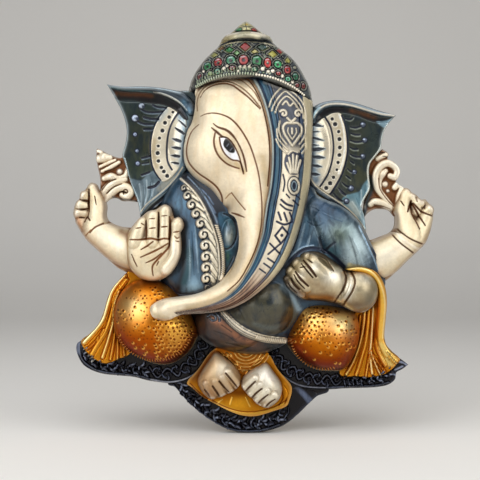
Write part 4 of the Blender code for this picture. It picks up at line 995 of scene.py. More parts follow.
def body(f):
    """The chest, the sleeve and the belly, with the collar and the belt."""
    u, v = f.u, f.v
    f.level = blend_all(
        [
            dome(u, v, TORSO, (262, 262), 17.2, 46), tube(u, v, SHOULDER),
            ball(u, v, (262, 303, 14), (38, 38, 42)),
            ball(u, v, (236, 318, 10), (46, 34, 40)), ball(u, v, (229, 234, 32), (9, 18, 16)),
        ],
        2.5,
    )
    # Paint, by areas
    f.spot(182, 205, 10, 9, "#44687F", 0.8)
    f.spot(195, 250, 5, 34, "#4A6C86", 0.8)
    f.spot(195, 284, 8, 10, "#86A8C0", 0.9)
    # Painted shade in the gap beside the collar
    f.mist([(184, 222), (184.6, 245), (184, 268), (180, 284), (176, 294)], 3.6, "#10131C", 0.95)
    f.mist([(190, 250), (189, 268), (185, 282)], 3.4, TEAL, 0.95)
    f.spot(320, 206, 18, 9, "#39506A", 0.8)
    f.spot(306, 218, 9, 14, "#34586C", 0.8)
    f.spot(352, 250, 13, 22, "#B4C8CC", 0.9)
    f.spot(340, 232, 12, 8, "#9FB8B8", 0.75)
    f.spot(336, 236, 9, 11, "#5C6A58", 0.85)
    f.spot(331, 252, 7, 8, "#3A7080", 0.8)
    f.spot(302, 252, 8, 14, "#5F809A", 0.85)
    f.spot(316, 232, 6, 7, "#86A0AE", 0.6)
    f.spot(300, 276, 18, 18, "#3A434A", 0.8)
    # Painted sheen: pale streaks of highlight across the chest and the sleeve
    f.strokes(
        [[(190, 240), (191, 262), (190, 280)], [(196, 226), (198, 250), (199, 272)], [
            (304, 224), (299, 242), (294, 256),
        ], [(309, 236), (305, 250)], [(350, 238), (357, 254), (362, 268)], [(343, 240), (348, 254)]],
        2.4, 0.2, "#A4BCC8", soft=1.6, taper=(0.3, 1, 0.3), strength=0.4,
    )
    f.strokes([
        [(193, 232), (194.6, 254), (195, 274)], [(300, 220), (295, 238), (289, 250)],
        [(312, 230), (308, 244)], [(346, 236), (352, 252), (356, 268)], [(326, 226), (331, 240), (334, 254)],
        [(181, 232), (181, 252), (179, 272)],
    ], 2.4, -0.2, "#152A38", soft=1.6, taper=(0.3, 1, 0.3), strength=0.6)
    belly = [
        (228, 309), (250, 296), (268, 284), (283, 284), (293, 294), (299, 307), (296, 318), (288, 328),
        (276, 333), (262, 331), (246, 326), (236, 318),
    ]
    f.fill(belly, "#4C4838", 1, 1.4)
    # A painted highlight along the upper right of the belly
    f.mist([(282, 286), (291, 295), (298, 308)], 3.0, PALE_BLUE, 0.9)
    f.mist([(254, 322), (270, 326), (284, 323)], 2.6, "#5B615C", 0.8)
    f.mist([(243, 324), (256, 331), (270, 335), (286, 334)], 2.4, "#1A1E2C", 0.95)
    f.spot(262, 302, 18, 9, "#4A4A38", 0.6)
    lower = [
        (186, 311), (222, 309), (232, 320), (244, 330), (262, 338), (286, 342), (284, 352), (240, 356),
        (208, 346), (192, 330),
    ]
    f.fill(lower, "#4C382E", 1, 1.2)
    # A painted copper highlight across the lower belly
    f.mist([(214, 318), (226, 325), (238, 335), (252, 342)], 4.0, "#9A6546", 0.8)
    f.mist([(196, 316), (206, 332), (222, 344)], 4.0, "#2E2324", 0.6)
    f.spot(274, 346, 12, 5, "#1E1B20", 0.9)
    f.stroke([(226, 341), (236, 343.6), (248, 346.6)], 1.4, -0.5, "#241815")
    f.strokes([[(214, 329), (226, 333), (236, 340)], [(222, 323), (232, 330)]], 1.0, -0.4, "#2E1E18")
    f.raised([
        [(208, 315), (211, 313), (215, 314), (216.4, 317.6), (213, 319), (210.6, 317)],
        [(216, 311), (219.4, 315), (220, 319)],
    ], 1.2, 0.8, "#7E8EA4", INK)
    # Belt
    f.stroke(BELT, 9.5, -0.4, "#17181F")
    f.stroke(BELT, 7.4, 2.6, "#E2D6BC", taper=(0.7, 0.9, 1, 1, 0.9))
    for shift, width in ((-2.2, 0.9), (0.6, 0.9), (2.6, 0.8)):
        f.stroke(shifted(BELT, -shift * 0.5, shift * 0.85), width, -0.7, "#2E2C38")
    # Shadow under the cheek
    f.fill([
        (182, 168), (192, 178), (204, 186), (214, 192), (221, 202), (226, 212), (219, 218), (212, 213),
        (204, 200), (194, 189), (184, 180),
    ], "#131722", 1, 1.4)
    f.strokes(
        [[(187, 178), (196, 186), (204, 195), (211, 205), (216, 214)], [(200, 188), (208, 196), (214, 205)]],
        1.1, 0.5, "#5E7592", strength=0.8,
    )
    # Boss at the throat
    boss = [
        (219, 213.4), (226, 213), (232, 218), (236.6, 226), (238.4, 238), (236.6, 252), (231, 266),
        (227, 270), (225, 260), (223.4, 247), (221.4, 234), (219.6, 222),
    ]
    f.fill(boss, "#355A72", 1, 1.2)
    f.spot(228, 222, 5, 5, "#1F5560", 0.7)
    f.spot(229, 237, 3.4, 6.5, "#B4BAB2", 0.9)
    f.fill([(225, 248), (232, 246), (237, 250), (232, 264), (227, 268)], "#2E5564", 1, 1.2)
    f.spot(228, 256, 2, 5, "#4A6A3E", 0.6)
    f.stroke(
        [(221.6, 246), (226, 249), (231, 247), (235, 241), (237, 232), (235.4, 224), (231, 217), (224, 214)],
        1.8, -1.2, COLLAR_BLACK,
    )
    f.stroke([(233.6, 256), (230, 264), (226, 270)], 1.3, -0.6, "#16202C")
    # Collar
    panel = [
        (186, 183), (196, 190), (205, 204), (213, 220), (219, 238), (221, 256), (221.4, 272), (219, 284),
        (204, 286), (205, 262), (205, 244), (200, 226), (192, 208), (184, 194),
    ]
    f.fill(panel, "#20283C", 1, 1.0)
    f.fill([
        (205, 214), (211, 220), (216, 234), (218.4, 250), (219.6, 268), (219, 283), (212, 284), (212, 262),
        (211, 244), (207, 228),
    ], "#DDD2B8", 1, 1.0, 0.7)
    for column, row, size, tail in (
        (184.4, 188.4, 2.8, (191, 191)), (188.2, 196, 4.2, (199, 201)), (192.4, 205, 4.6, (204.6, 211)),
        (196.8, 214, 4.6, (209, 222)),
        (201.4, 223.6, 4.7, (213.4, 233)), (204.6, 234.4, 4.9, (216, 245)), (206, 245.4, 4.9, (217.6, 256)),
        (206.6, 256.4, 4.8, (218, 266)),
        (206.8, 267.2, 4.8, (218, 276)), (207, 278, 4.8, (217.4, 285)), (208, 287.4, 2.8, None),
    ):
        curl(f, column, row, size, tail)
    rim = [
        (181, 179), (189, 186), (197, 195), (204, 206), (210, 219), (215, 232), (218.6, 246), (220, 262),
        (220, 274), (218, 284),
    ]
    rope = [
        (188, 177), (196, 185), (203.6, 195), (210, 206), (215.6, 218), (219.6, 231), (222.4, 245),
        (224, 260), (224, 272), (221, 282),
    ]
    f.stroke([((a[0] + b[0]) / 2, (a[1] + b[1]) / 2) for a, b in zip(rim, rope)], 7.6, -0.3, "#10141F")
    f.stroke(rim, 2.2, 1.8, "#E2D8C0")
    f.stroke(rope, 2.0, 1.2, "#5C728C", strength=0.9)
    f.stroke(TWIST, 4.4, 0.8, "#2A2C3A")
    f.stroke(
        [(172, 286), (178, 292.6), (188, 294), (200, 292.4), (210, 289.4), (220, 284)], 2.0, -0.8, "#1D2C4A",
    )
    # Right sleeve
    f.stroke([(318, 238), (320, 245), (322.4, 252), (327, 247), (332.6, 242.6)], 2.6, -0.6, "#1E2A36")
    f.stroke([(361, 228), (367, 242), (374, 258), (382, 276)], 3.4, -0.4, "#1C2742")
    # A painted highlight beside the navy edge of the sleeve
    f.stroke([(357, 226), (364, 241), (371, 257), (379, 275)], 1.6, 0.8, "#7FA0BE")
    f.stroke([(303, 210), (300, 222), (296, 236), (291, 250)], 2.4, -0.4, "#22304A")
    f.stroke(
        [(284, 268), (292, 258), (300, 251), (310, 248), (322, 250), (333, 257), (342, 266)], 3.4, -0.8,
        "#1F2A42",
    )
    f.stroke([(284, 262), (293, 253), (302, 247.4), (312, 245.4)], 1.2, 0.6, "#8FA8BE", strength=0.8)
    f.strokes([
        [(306, 222), (314, 226), (322, 223)], [(322, 214), (332, 219), (340, 222)], [(310, 206), (318, 212)],
    ], 1.2, -0.4, "#24425A", strength=0.8)


piece("body", TORSO, body, 0.85, "blue_lacquer", "#25435A")

# The raised rear arms, and what their hands hold

LEFT_FOREARM = [
    (142, 253, 20, 19), (126, 248, 19, 19), (108, 239, 17, 17), (96, 228.5, 17, 15),
    (96.5, 217, 17, 10.5), (97, 206, 16, 8.6), (95.6, 196, 15, 7.4), (92.4, 188, 14, 6.2),
]
RIGHT_FOREARM = [
    (362, 264, 18, 19), (384, 257, 18, 19.5), (400, 246, 17, 17.5), (410, 236, 17, 15.5),
    (406, 222, 17, 10.6), (403.4, 209, 16, 8.4), (405, 199, 15, 6.6), (408, 192.6, 14, 5.4),
]
LEFT_ARM = [
    (72.3, 210), (74.5, 222), (81, 234), (91, 244.5), (101.5, 254), (111.5, 263.6), (119.5, 270), (134, 274),
    (148, 262), (145, 240), (132, 228.6), (119.5, 226.4), (108.5, 222), (104.5, 216), (105, 206), (102, 196),
    (97, 188.4), (94.6, 183.6), (90, 182), (86.4, 184.6), (84, 189.6), (80, 191.6), (78.6, 197.6),
    (75, 202.6),
]
RIGHT_ARM = [
    (366, 243), (375, 239.4), (385, 235.4), (392, 232.4), (396.4, 226.4), (397, 217), (394, 210), (396, 203),
    (399.6, 197), (400, 191), (404, 188), (409, 188), (413.4, 192.6), (418, 194.6), (422, 199.6), (427, 199),
    (431.4, 204), (434.6, 208.6), (434.8, 214), (433.6, 224), (430, 236), (424, 245), (415, 254), (405, 263),
    (395, 274), (386, 281.6), (372, 282), (360, 266),
]


def arm_paint(f):
    """Painted brown shade down the rounded edges of a rear arm and in the clefts between its fingers."""
    f.tint(slice(None), np.clip((12.5 - f.level) / 3, 0, 0.9), "#6B3F1E")
    f.level = np.maximum(f.level, 9)
    f.edge_shade(2.6, "#8E6230", 0.85)
    f.drop_edge(2.4, 2.5)


def left_arm(f):
    """The left rear arm, its fist closed round the conch."""
    u, v = f.u, f.v
    fingers = [
        [(87, 198, 16, 3.4), (83.6, 195.6, 18, 5.2)], [(85, 206, 16, 4.4), (79.6, 204.6, 17.6, 5.4)],
        [(84, 214, 16, 4.6), (77.4, 213.4, 17, 5.2)], [(86, 226, 16, 8), (79.6, 221, 16, 5.4)],
    ]
    f.level = blend_all([tube(u, v, LEFT_FOREARM), *(tube(u, v, path) for path in fingers)], 0.8)
    # Painted shade along the lower edge and where the arm meets the hand, and a painted highlight along its
    # top
    f.mist([(75, 220), (82, 238), (95, 251), (110, 264), (126, 273)], 7.5, "#9A5A22", 0.95)
    f.mist([(122, 232), (134, 240), (140, 256)], 4, "#7A5028", 0.8)
    f.mist([(100, 232), (112, 240), (124, 248)], 6, IVORY, 0.7)
    f.mist([(104, 206), (105, 216)], 2, TAN, 0.6)
    f.stroke([(91, 232.6), (96, 227.6), (104, 223.4)], 1.7, -0.9, BROWN)
    f.stroke([(86, 236), (92, 230)], 1.2, -0.5, "#8A5A2C")
    for line, width in (
        ([(88.4, 189), (88.6, 196), (88.2, 203), (89, 210), (88, 217)], 2.6),
        ([(87.6, 200.4), (83, 200.4), (79.6, 199.4)], 2.4), ([(87.6, 208.4), (82, 209.4), (76.8, 209)], 2.2),
        ([(85, 222), (87.6, 217.4), (90.6, 220.4)], 2.2), ([(83.6, 217.6), (79, 217.4)], 1.6),
        ([(94.6, 196), (96.6, 205)], 1.0),
    ):
        f.stroke(line, width, -1.8, "#5E3310", taper=(0.6, 1, 0.6))
    # A painted highlight on the knuckles
    f.mist([(83, 193.6), (79, 204), (76.6, 214)], 2.2, IVORY, 0.7)
    arm_paint(f)


def right_arm(f):
    """The right rear arm, with bangles cut round its wrist."""
    u, v = f.u, f.v
    fingers = [
        [(416, 238, 17, 13), (423, 227, 17, 9), (427, 218, 17, 7)],
        [(417.6, 212, 16, 4.6), (418, 203.6, 17, 5), (421.6, 202.4, 17, 4.8)],
        [(414, 200, 16, 3.6), (412.6, 196, 16, 4.4)], [(426, 213, 16, 5), (430.4, 209.4, 17.6, 5)],
    ]
    f.level = blend_all([tube(u, v, RIGHT_FOREARM), *(tube(u, v, path) for path in fingers)], 0.8)
    # Painted shade along the lower and upper edges, and a painted highlight along the top of the forearm
    f.mist([(432, 232), (424, 246), (410, 260), (394, 275), (384, 283)], 5.0, "#A57F4A", 0.9)
    f.mist([(375, 262), (388, 254), (400, 246)], 8, IVORY, 0.7)
    f.mist([(366, 246), (380, 239), (393, 234)], 2.4, TAN, 0.8)
    f.strokes([
        [(390.4, 232.6), (394, 238), (401, 245), (413.6, 253.6)],
        [(397, 228.6), (402, 234), (411, 240), (424.6, 245)],
    ], 1.7, -1.0, CUT_BROWN)
    # A painted highlight along the band between the bangles
    f.stroke([(394, 230.6), (400, 238), (410, 245.4), (419, 249.6)], 2.6, 0.8, IVORY, strength=0.6)
    for line, width in (
        ([(411.6, 201), (409.6, 206.6), (407.4, 211.6)], 3.0), (
            [(411.4, 203), (411.4, 212), (415.6, 221), (418.6, 229)], 2.6,
        ), ([(412.4, 203.6), (417.6, 213), (424.6, 225.6)], 2.2),
        ([(413.6, 203.4), (422, 211.6), (434, 216.6)], 2.2), ([(416.6, 197.4), (417.4, 201.6)], 2.0),
        ([(425.6, 203), (425, 208.6)], 2.2), ([(401, 201), (404, 206)], 1.3),
    ):
        f.stroke(line, width, -1.8, "#5E3310", taper=(0.7, 1, 0.5))
    # A painted highlight on the knuckles
    f.mist([(414, 196), (423, 203), (432, 209)], 2.0, IVORY, 0.7)
    arm_paint(f)


piece("left_rear_arm", LEFT_ARM, left_arm, 0.6, "cream_lacquer", "#E6D8B8")
piece("right_rear_arm", RIGHT_ARM, right_arm, 0.6, "cream_lacquer", "#E6D8B8")

CONCH_EDGE = [
    (95.6, 147.4, CORNER), (103, 151), (111, 155), (118, 157), (126, 157), (132, 172), (137, 188),
    (139, 202, CORNER), (128, 200.5), (121, 200.5), (116, 198), (111, 197.5), (106, 200),
    (101, 206, CORNER), (99, 190), (98.6, 178), (96.4, 167), (95, 156),
]
LOTUS_EDGE = [
    (384, 148, CORNER), (390, 153), (389, 158.5), (395, 162), (400.5, 169), (400, 176), (397, 181),
    (399, 184), (405, 189), (407, 204), (402, 214), (396, 216, CORNER), (391, 210), (384, 208.5),
    (376, 209), (369, 213), (364, 220, CORNER), (366, 200), (370, 188), (369, 176), (370, 164), (376, 156),
]
CONCH = [
    [(97, 150.4, 13, 1.6), (100, 151.6, 14, 1.8)],
    [(98.6, 158, 13, 3.6), (103.6, 157, 15, 4.0), (109, 157, 14, 2.4)],
    [(99, 166, 13, 1.5), (107, 162.4, 15, 1.6), (114, 159.4, 13, 1.3)],
    [(101, 170.6, 13, 1.5), (109, 167, 15, 1.8), (118, 161.6, 13, 1.6)],
    [
        (103, 178, 12, 2.4), (110, 176, 14, 3.2), (117, 178, 13, 2.6), (124, 175.6, 12, 2.4),
        (126.4, 169, 11, 2),
    ],
    [(101, 195, 12, 3.4), (107, 187, 14, 3.4), (115, 182, 14, 3.2), (124, 179, 12, 2.6)],
    [(104, 199, 12, 2.8), (111, 192, 14, 3.4), (118, 187.5, 14, 3.4), (125, 187, 14, 3.8),
     (129.5, 191.5, 13, 3.6), (126, 196, 13, 3.2), (121, 194.5, 13, 2.4)],
]
LOTUS = [
    [(394, 207, 13, 2.0), (386, 198, 14, 2.4), (378.4, 188, 14, 2.8), (376.6, 176, 14, 3.0),
     (381, 166.4, 14, 3.2), (388.5, 162.6, 14, 3.2), (395, 165.4, 14, 3.0), (398.4, 171, 14, 3.0),
     (396, 176.6, 14, 3.0), (391, 175.4, 14, 2.4)],
    [
        (389.6, 206, 12, 1.0), (382.6, 192, 13, 1.2), (381.6, 181, 13, 1.4), (383.6, 174, 15, 2.6),
        (386.6, 170.4, 14, 2.2),
    ],
    [
        (396, 187, 14, 2.6), (398.6, 184.4, 14, 2.6), (402.6, 188, 14, 2.4), (400.6, 196, 14, 3.0),
        (399, 204, 14, 2.6),
    ],
    [(392, 207, 12, 3.2), (384, 203, 13, 3.2), (376, 201.5, 13, 3.2), (371.5, 204, 12, 2.6)],
    [(379, 158, 11, 2.4), (387, 154, 12, 2.2)],
]


def scrollwork(f, paths):
    """Cream scrolls over a brown ground, with a painted highlight along the crest of each."""
    u, v = f.u, f.v
    f.level[:] = 10.5
    f.drop_edge(2.0, 2.0)
    for path in paths:
        line = curve(path, False, 6)
        gap, share = nearest(u, v, line)
        reach = reach_along(line) / reach_along(line)[-1]
        radius = 1.28 * np.interp(share, reach, line[:, 3])
        form = round_form(gap, np.interp(share, reach, line[:, 2]) - 1, radius, radius * 0.9)
        higher = form > f.level
        f.level = np.maximum(f.level, form)
        f.tint(
            slice(None), np.clip((radius - 0.5 - gap) / 0.8 + 0.5, 0, 1) * (higher | (gap < radius)), CREAM,
        )
        # A painted highlight along the crest of the scroll
        f.tint(slice(None), np.exp(-((gap / (radius * 0.5)) ** 2)) * 0.6, IVORY)


def conch(f):
    """The conch, as scrolls and a coiled whorl."""
    scrollwork(f, CONCH)
    f.dots([(118.4, 171, 3.0)], 2.6, IVORY, BROWN, 1.2)
    f.mist([(128, 162), (131, 172), (134, 184), (137, 196)], 2.2, "#54708A", 0.9)
    f.stroke([(112, 196.6), (119, 199), (128, 199.6), (136, 201)], 2.2, -0.3, DEEP_BROWN)
    f.strokes([
        [(104, 171), (112, 168.6), (118, 165)], [(101, 190), (107, 182.6), (115, 178.8)],
        [(106, 193), (113, 187), (121, 183.4)],
    ], 1.3, -0.9, CUT_BROWN)
    f.spiral((125.4, 191.6), 3.2, 1.0, 2.4, 1.2, -1.2, CUT_BROWN)


def lotus(f):
    """The lotus stem, curled over at its top."""
    scrollwork(f, LOTUS)
    f.mist([(371, 176), (373, 188), (368, 202), (366, 214)], 2.6, "#1E3A48", 0.9)
    f.strokes(
        [[(379.6, 178), (381, 189), (388.6, 200), (395, 206)], [(375, 204.6), (383, 206), (391, 209)]], 1.1,
        -0.8, "#6E4018",
    )
    f.dots([(386.4, 183.6, 3.0), (389.2, 190.6, 1.8)], 2.0, IVORY, BROWN, 1.0)
    f.strokes([[(384, 155.6), (389, 156.4)], [(380, 151.6), (386, 152)]], 1.0, -0.5, INK)


piece("conch_scroll", CONCH_EDGE, conch, 0.5, "cream_lacquer", "#7A4A22")
piece("lotus_scroll", LOTUS_EDGE, lotus, 0.5, "cream_lacquer", "#7A4A22")

# The front hands

PALM = [
    (130, 238), (138, 233), (150, 235), (163, 235), (175, 231), (181, 236), (181.5, 247), (179.5, 260),
    (171, 272), (160, 279), (148, 280), (138, 275), (130.5, 266), (127.5, 254), (127, 245),
]
PALM_EDGE = [
    (129.4, 233), (136.4, 223), (144, 216), (148.6, 212.4), (152, 211), (157, 210), (161, 207.4), (166, 205),
    (171, 207.6), (173.4, 214), (175.4, 218.6), (180, 217.4), (184, 221.6), (184.4, 228), (181.4, 233),
    (182.4, 243), (181.4, 255), (177, 265.6), (170, 274.4), (160, 279.8), (148, 280.4), (138, 275.6),
    (130.6, 266.4), (127.4, 254), (126.6, 243),
]
FINGERS = [
    [(137, 243, 40, 7), (140, 232, 40.4, 6.8), (143.8, 222.6, 39.6, 5.6)],
    [(154, 243, 43.6, 6.2), (154, 233, 44, 6.0), (154, 225, 43.6, 5.6), (154.4, 216.4, 43, 5.8)],
    [(165.6, 243, 43.6, 5.6), (165.8, 232, 44, 5.6), (166, 222, 43.6, 5.2), (166.6, 211.4, 43, 5.6)],
    [
        (168, 268, 42, 7), (176, 256, 44, 6), (176.8, 242, 44, 5.4), (177.4, 234, 44, 4.8),
        (178.4, 225, 44, 6.0), (178.6, 222, 44, 5),
    ],
]


def palm(f):
    """The raised hand, palm forwards."""
    u, v = f.u, f.v
    f.level = blend_all(
        [dome(u, v, PALM, (155, 252), 34, 47.4), *(tube(u, v, path) for path in FINGERS)], 1.6,
    )
    f.level = np.maximum(f.level, 32)
    # Painted shade down the left and lower edges, a painted highlight down the right edge, and a little
    # darker in the middle of the palm
    f.mist([(127, 240), (127, 256), (134, 270), (146, 280)], 3.2, "#A98048", 0.8)
    f.mist([(176, 244), (176, 258), (168, 270), (156, 278)], 4.0, IVORY, 0.8)
    f.spot(152, 256, 13, 12, "#D9C7A2", 0.6)
    f.strokes([
        [(147.8, 221), (148.4, 231), (148.2, 239)], [(160, 213), (160.6, 226), (160, 237)],
        [(171, 217), (171.4, 228), (170.6, 239)],
    ], 2.4, -1.5, "#6E3E14", taper=(0.5, 1, 0.9))
    for line, width in (
        ([(138, 228.6), (142.6, 228)], 1.0), ([(151.6, 228.8), (157, 228.2)], 1.3),
        ([(163, 227.4), (168.6, 226.8)], 1.3),
        ([
            (132, 239.6), (140, 239.8), (147.6, 239), (154, 238.6), (160, 239.8), (166, 238.6), (171, 239.4),
        ], 1.9),
        ([(151.4, 219.4), (156.6, 219)], 0.9),
        ([(163.4, 216.6), (168.6, 216.2)], 0.9), ([(143, 223.4), (146, 225.4)], 0.9), (
            [(143, 249.4), (149, 246), (155, 241.6)], 1.5,
        ), ([(142.6, 257), (154, 252), (162, 248), (169.4, 243.6)], 1.7),
        ([(148, 262.4), (156, 258.6), (163, 253)], 1.5), (
            [(154.6, 275), (154.2, 266), (159, 259.6), (165.6, 252.4), (170.4, 246.4), (171, 238)], 1.9,
        ), ([(158.4, 265), (160.4, 261)], 1.1), ([(133.6, 254), (136, 260), (139, 266)], 1.0),
        ([(175, 232.4), (180.6, 231.8)], 1.3), ([(176, 236), (178.4, 238.4), (181, 237)], 1.1),
        ([(177, 241), (180.6, 241.6)], 0.9),
    ):
        f.stroke(line, 1.25 * width, -1.1, "#7A4719", taper=(0.5, 1, 0.7))
    # Painted shade down the rounded edge
    f.edge_shade(2.4, "#8E6230", 0.8)
    f.drop_edge(1.6, 1.6)


piece("open_palm", PALM_EDGE, palm, 0.5, "cream_lacquer", "#E9DCBE")

RESTING_HAND = [
    (283, 279), (288, 267), (297, 257), (308, 252), (320, 253.5), (332, 261), (345, 270), (348, 286),
    (342, 303), (326, 300), (310, 299), (298, 295.5), (287, 287),
]
RESTING_EDGE = [
    (281.4, 279), (284, 271), (290, 261.6), (298.6, 254), (308, 251.2), (318, 252), (328, 257), (337, 264.4),
    (343.6, 269.6), (352, 268), (362, 269), (370.6, 275), (375.6, 285), (376, 296), (371, 305.4),
    (362, 311.4),
    (352, 310.4), (342, 305.6), (333, 302.4), (320, 300.6), (308, 299.8), (299, 296.6), (291, 290.6),
    (285, 285),
]
RESTING_FINGERS = [
    [(323, 271, 52, 6.5), (312, 260, 51, 6.2), (306, 256, 48, 4.5)],
    [(313, 279, 54, 6.5), (301, 268, 52, 6.2), (295, 263, 48, 4.5)],
    [(305, 286, 53, 6), (294, 275, 50, 5.8), (289, 270, 47, 4.5)],
    [(300, 292, 50, 5), (291, 283, 48, 5), (286, 278, 45, 4)],
]


def resting_hand(f):
    """The hand that rests on the right knee, with its bangle and the round of the wrist."""
    u, v = f.u, f.v
    wrist = ball(u, v, (354.6, 289.5, 36), (21.6, 21.6, 22))
    f.level = blend_all([
        dome(u, v, RESTING_HAND, (317, 278), 38, 60), wrist, *(tube(u, v, path) for path in RESTING_FINGERS),
    ], 2.0)
    f.level = np.maximum(f.level, 30)
    # Painted shade along the edges and under the wrist, and painted highlights on the back of the hand, the
    # knuckles and the round of the wrist
    f.mist([(296, 292), (312, 297), (330, 296)], 5.0, "#83592E", 0.9)
    f.mist([(284, 276), (288, 284), (296, 292)], 4.0, "#4A4038", 0.9)
    f.mist([(320, 286), (308, 280)], 6.0, "#A08868", 0.6)
    f.spot(330, 276, 9, 7, "#F2EEE0", 0.95)
    f.spot(345, 287, 6, 12, "#EDE9DA", 0.7)
    f.spot(365, 276, 9, 7, "#D9D6C8", 0.8)
    f.spot(366, 297, 8, 12, "#6E6656", 0.85)
    f.spot(354, 303, 12, 5, "#6E543C", 0.85)
    f.mist([(308, 253), (322, 256), (334, 264)], 2.6, "#6E6450", 0.8)
    f.spot(312, 266, 5, 5, "#E4E0D2", 0.8)
    f.spot(300, 274, 4, 4, "#CFCBBD", 0.7)
    for line, width in (
        ([(302, 260), (307.6, 267), (313.6, 275.4)], 2.8), ([(299.6, 263), (305, 270), (310.6, 276.6)], 1.6),
        ([(294, 271), (299, 278), (306, 284.6)], 2.6), ([(289.6, 277), (292.6, 283), (297.6, 288)], 2.4),
        ([(292.4, 273.6), (296, 280), (302.4, 287)], 1.5), ([(286.6, 282), (290, 287), (295, 291.4)], 1.6),
        ([(306, 259), (310, 262)], 1.2), ([(298, 266.6), (303, 266)], 1.1),
    ):
        f.stroke(line, width, -1.3, "#3E2412", taper=(0.6, 1, 0.7))
    f.fill(
        [(316, 257), (322, 258.6), (328, 264), (331, 270), (326, 267), (319, 262)], "#8A7A5C", 1, 1.2, -1.0,
    )
    f.strokes([[(318, 255.6), (325, 260), (331, 270)]], 1.2, -0.5, "#54402A")
    f.strokes([
        [(341, 269), (343.6, 277), (340.4, 288), (335, 296), (332, 302)],
        [(348.4, 270.4), (351.6, 279), (349.6, 288), (344, 298), (340.6, 304.6)],
    ], 2.0, -1.2, "#5A4028")
    # A painted highlight along the bangle
    f.stroke([(345, 270), (347.8, 279), (345, 290), (337.4, 303)], 3.0, 0.8, "#E9E5D6", strength=0.5)
    # Painted shade down the rounded edge
    f.edge_shade(2.2, "#4E3A24", 0.8)
    f.drop_edge(2.2, 2.2)


piece("resting_hand", RESTING_EDGE, resting_hand, 0.55, "bronze_lacquer", "#BDAE8C")

# The knees in their dotted cloth, and the drapes beside them

LEFT_KNEE = [
    (130, 283), (145, 279), (160, 281.5), (172, 287), (182, 298), (190, 311), (197, 324), (198, 335),
    (193, 347), (184, 357), (170, 364.5), (155, 364), (140, 358), (126, 350), (117, 340), (113.5, 325),
    (114, 308), (120, 293),
]
RIGHT_KNEE = [
    (301, 303), (315, 300), (331, 302), (347, 308), (357, 316), (360, 330), (358, 345), (353, 358),
    (344, 370), (330, 371), (314, 369), (300, 360), (290, 349.5), (286, 340), (289, 327), (295, 314),
]
LEFT_KNEE_MIDDLE, RIGHT_KNEE_MIDDLE, RIGHT_RAYS_MIDDLE = (156, 322), (322, 336), (322, 334)


def punched(f, outline, keep, seed, pitch):
    """Punched spots over the cloth; where they lie closest, each gets a pale crescent on its lower right, a
    painted highlight.
    """
    chance = np.random.default_rng(seed)
    loop = curve(outline, True, 5)
    (left, top), (right, bottom) = loop.min(0), loop.max(0)
    shelf = 0
    for row in np.arange(top + 3, bottom - 3, pitch * 0.87):
        shelf += 1
        places = np.arange(left + 3 + pitch / 2 * (shelf % 2), right - 3, pitch)
        places = np.column_stack(
            [places, np.full(len(places), row)]
        ) + chance.uniform(-0.22, 0.22, (len(places), 2)) * pitch
        clear = inside(
            places[:, 0], places[:, 1], loop,
        ) & (nearest(places[:, 0], places[:, 1], ring_of(loop))[0] > 5)
        for a, b in places[clear]:
            size, roll, close = chance.uniform(0.8, 1.25), chance.random(), keep(a, b)
            if roll < close:
                # A painted highlight: a pale crescent on the lower right of the spot
                f.dots([(a + 0.55, b + 0.65, size + 0.55)], 0.6, "#EBA846")
                f.dots([(a, b, size)], -1.2, "#783608")
            elif roll < close + 0.35:
                f.dots([(a, b, 0.75)], -0.5, "#7E3C08")


def left_knee(f):
    """The knee under the trunk's tip."""
    f.level = dome(f.u, f.v, LEFT_KNEE, LEFT_KNEE_MIDDLE, 15.6, 57)
    # Painted shade, darker and redder, over the lower half and along the top and left edges, and painted
    # highlights on the upper left and on the right
    f.mist([(118, 336), (136, 351), (154, 358), (172, 358), (190, 345)], 19, "#8A2C00", 1.0)
    f.spot(150, 338, 24, 8, "#9E3A00", 0.7)
    f.spot(136, 307, 15, 12, "#FFC878", 0.9)
    f.spot(134, 303, 8, 6, "#FAD692", 0.7)
    f.spot(178, 320, 13, 22, "#FFC85A", 0.85)
    f.spot(156, 330, 10, 14, "#B85808", 0.6)
    f.mist([(132, 286), (148, 282), (164, 286), (178, 299)], 3.4, "#C9852C", 0.8)
    f.mist([(118, 298), (115, 314), (117, 332)], 3.4, "#A85A10", 0.8)
    punched(f, LEFT_KNEE, lambda a, b: 0.92 if a > 156 else (0.12 if b < 330 else 0.30), 5, 4.5)
    ticks(f, LEFT_KNEE_MIDDLE, (37.5, 36), range(14, 160, 4))
    f.stroke([
        (121, 346.6), (131, 353.6), (142, 359.4), (156, 364), (170, 364.6), (183, 358.4), (192, 348.6),
        (197.4, 338),
    ], 2.6, 1.2, "#E3CFA6")
    f.stroke([
        (124, 345), (133, 351.6), (144, 357), (157, 361.4), (169, 362), (181, 356), (190, 346.4), (195, 336),
    ], 1.2, -0.8, "#5A2606", strength=0.8)
    f.drop_edge(1.5, 1.5)


def ticks(f, centre, reach, degrees):
    """Short cuts set round a knee's lower edge like rays."""
    for degree in degrees:
        a = math.radians(degree)
        column, row = centre[0] + reach[0] * math.cos(a), centre[1] + reach[1] * math.sin(a)
        f.stroke([(column, row), (column + 4.8 * math.cos(a), row + 4.8 * math.sin(a))], 1.2, -0.7, "#7A3004")


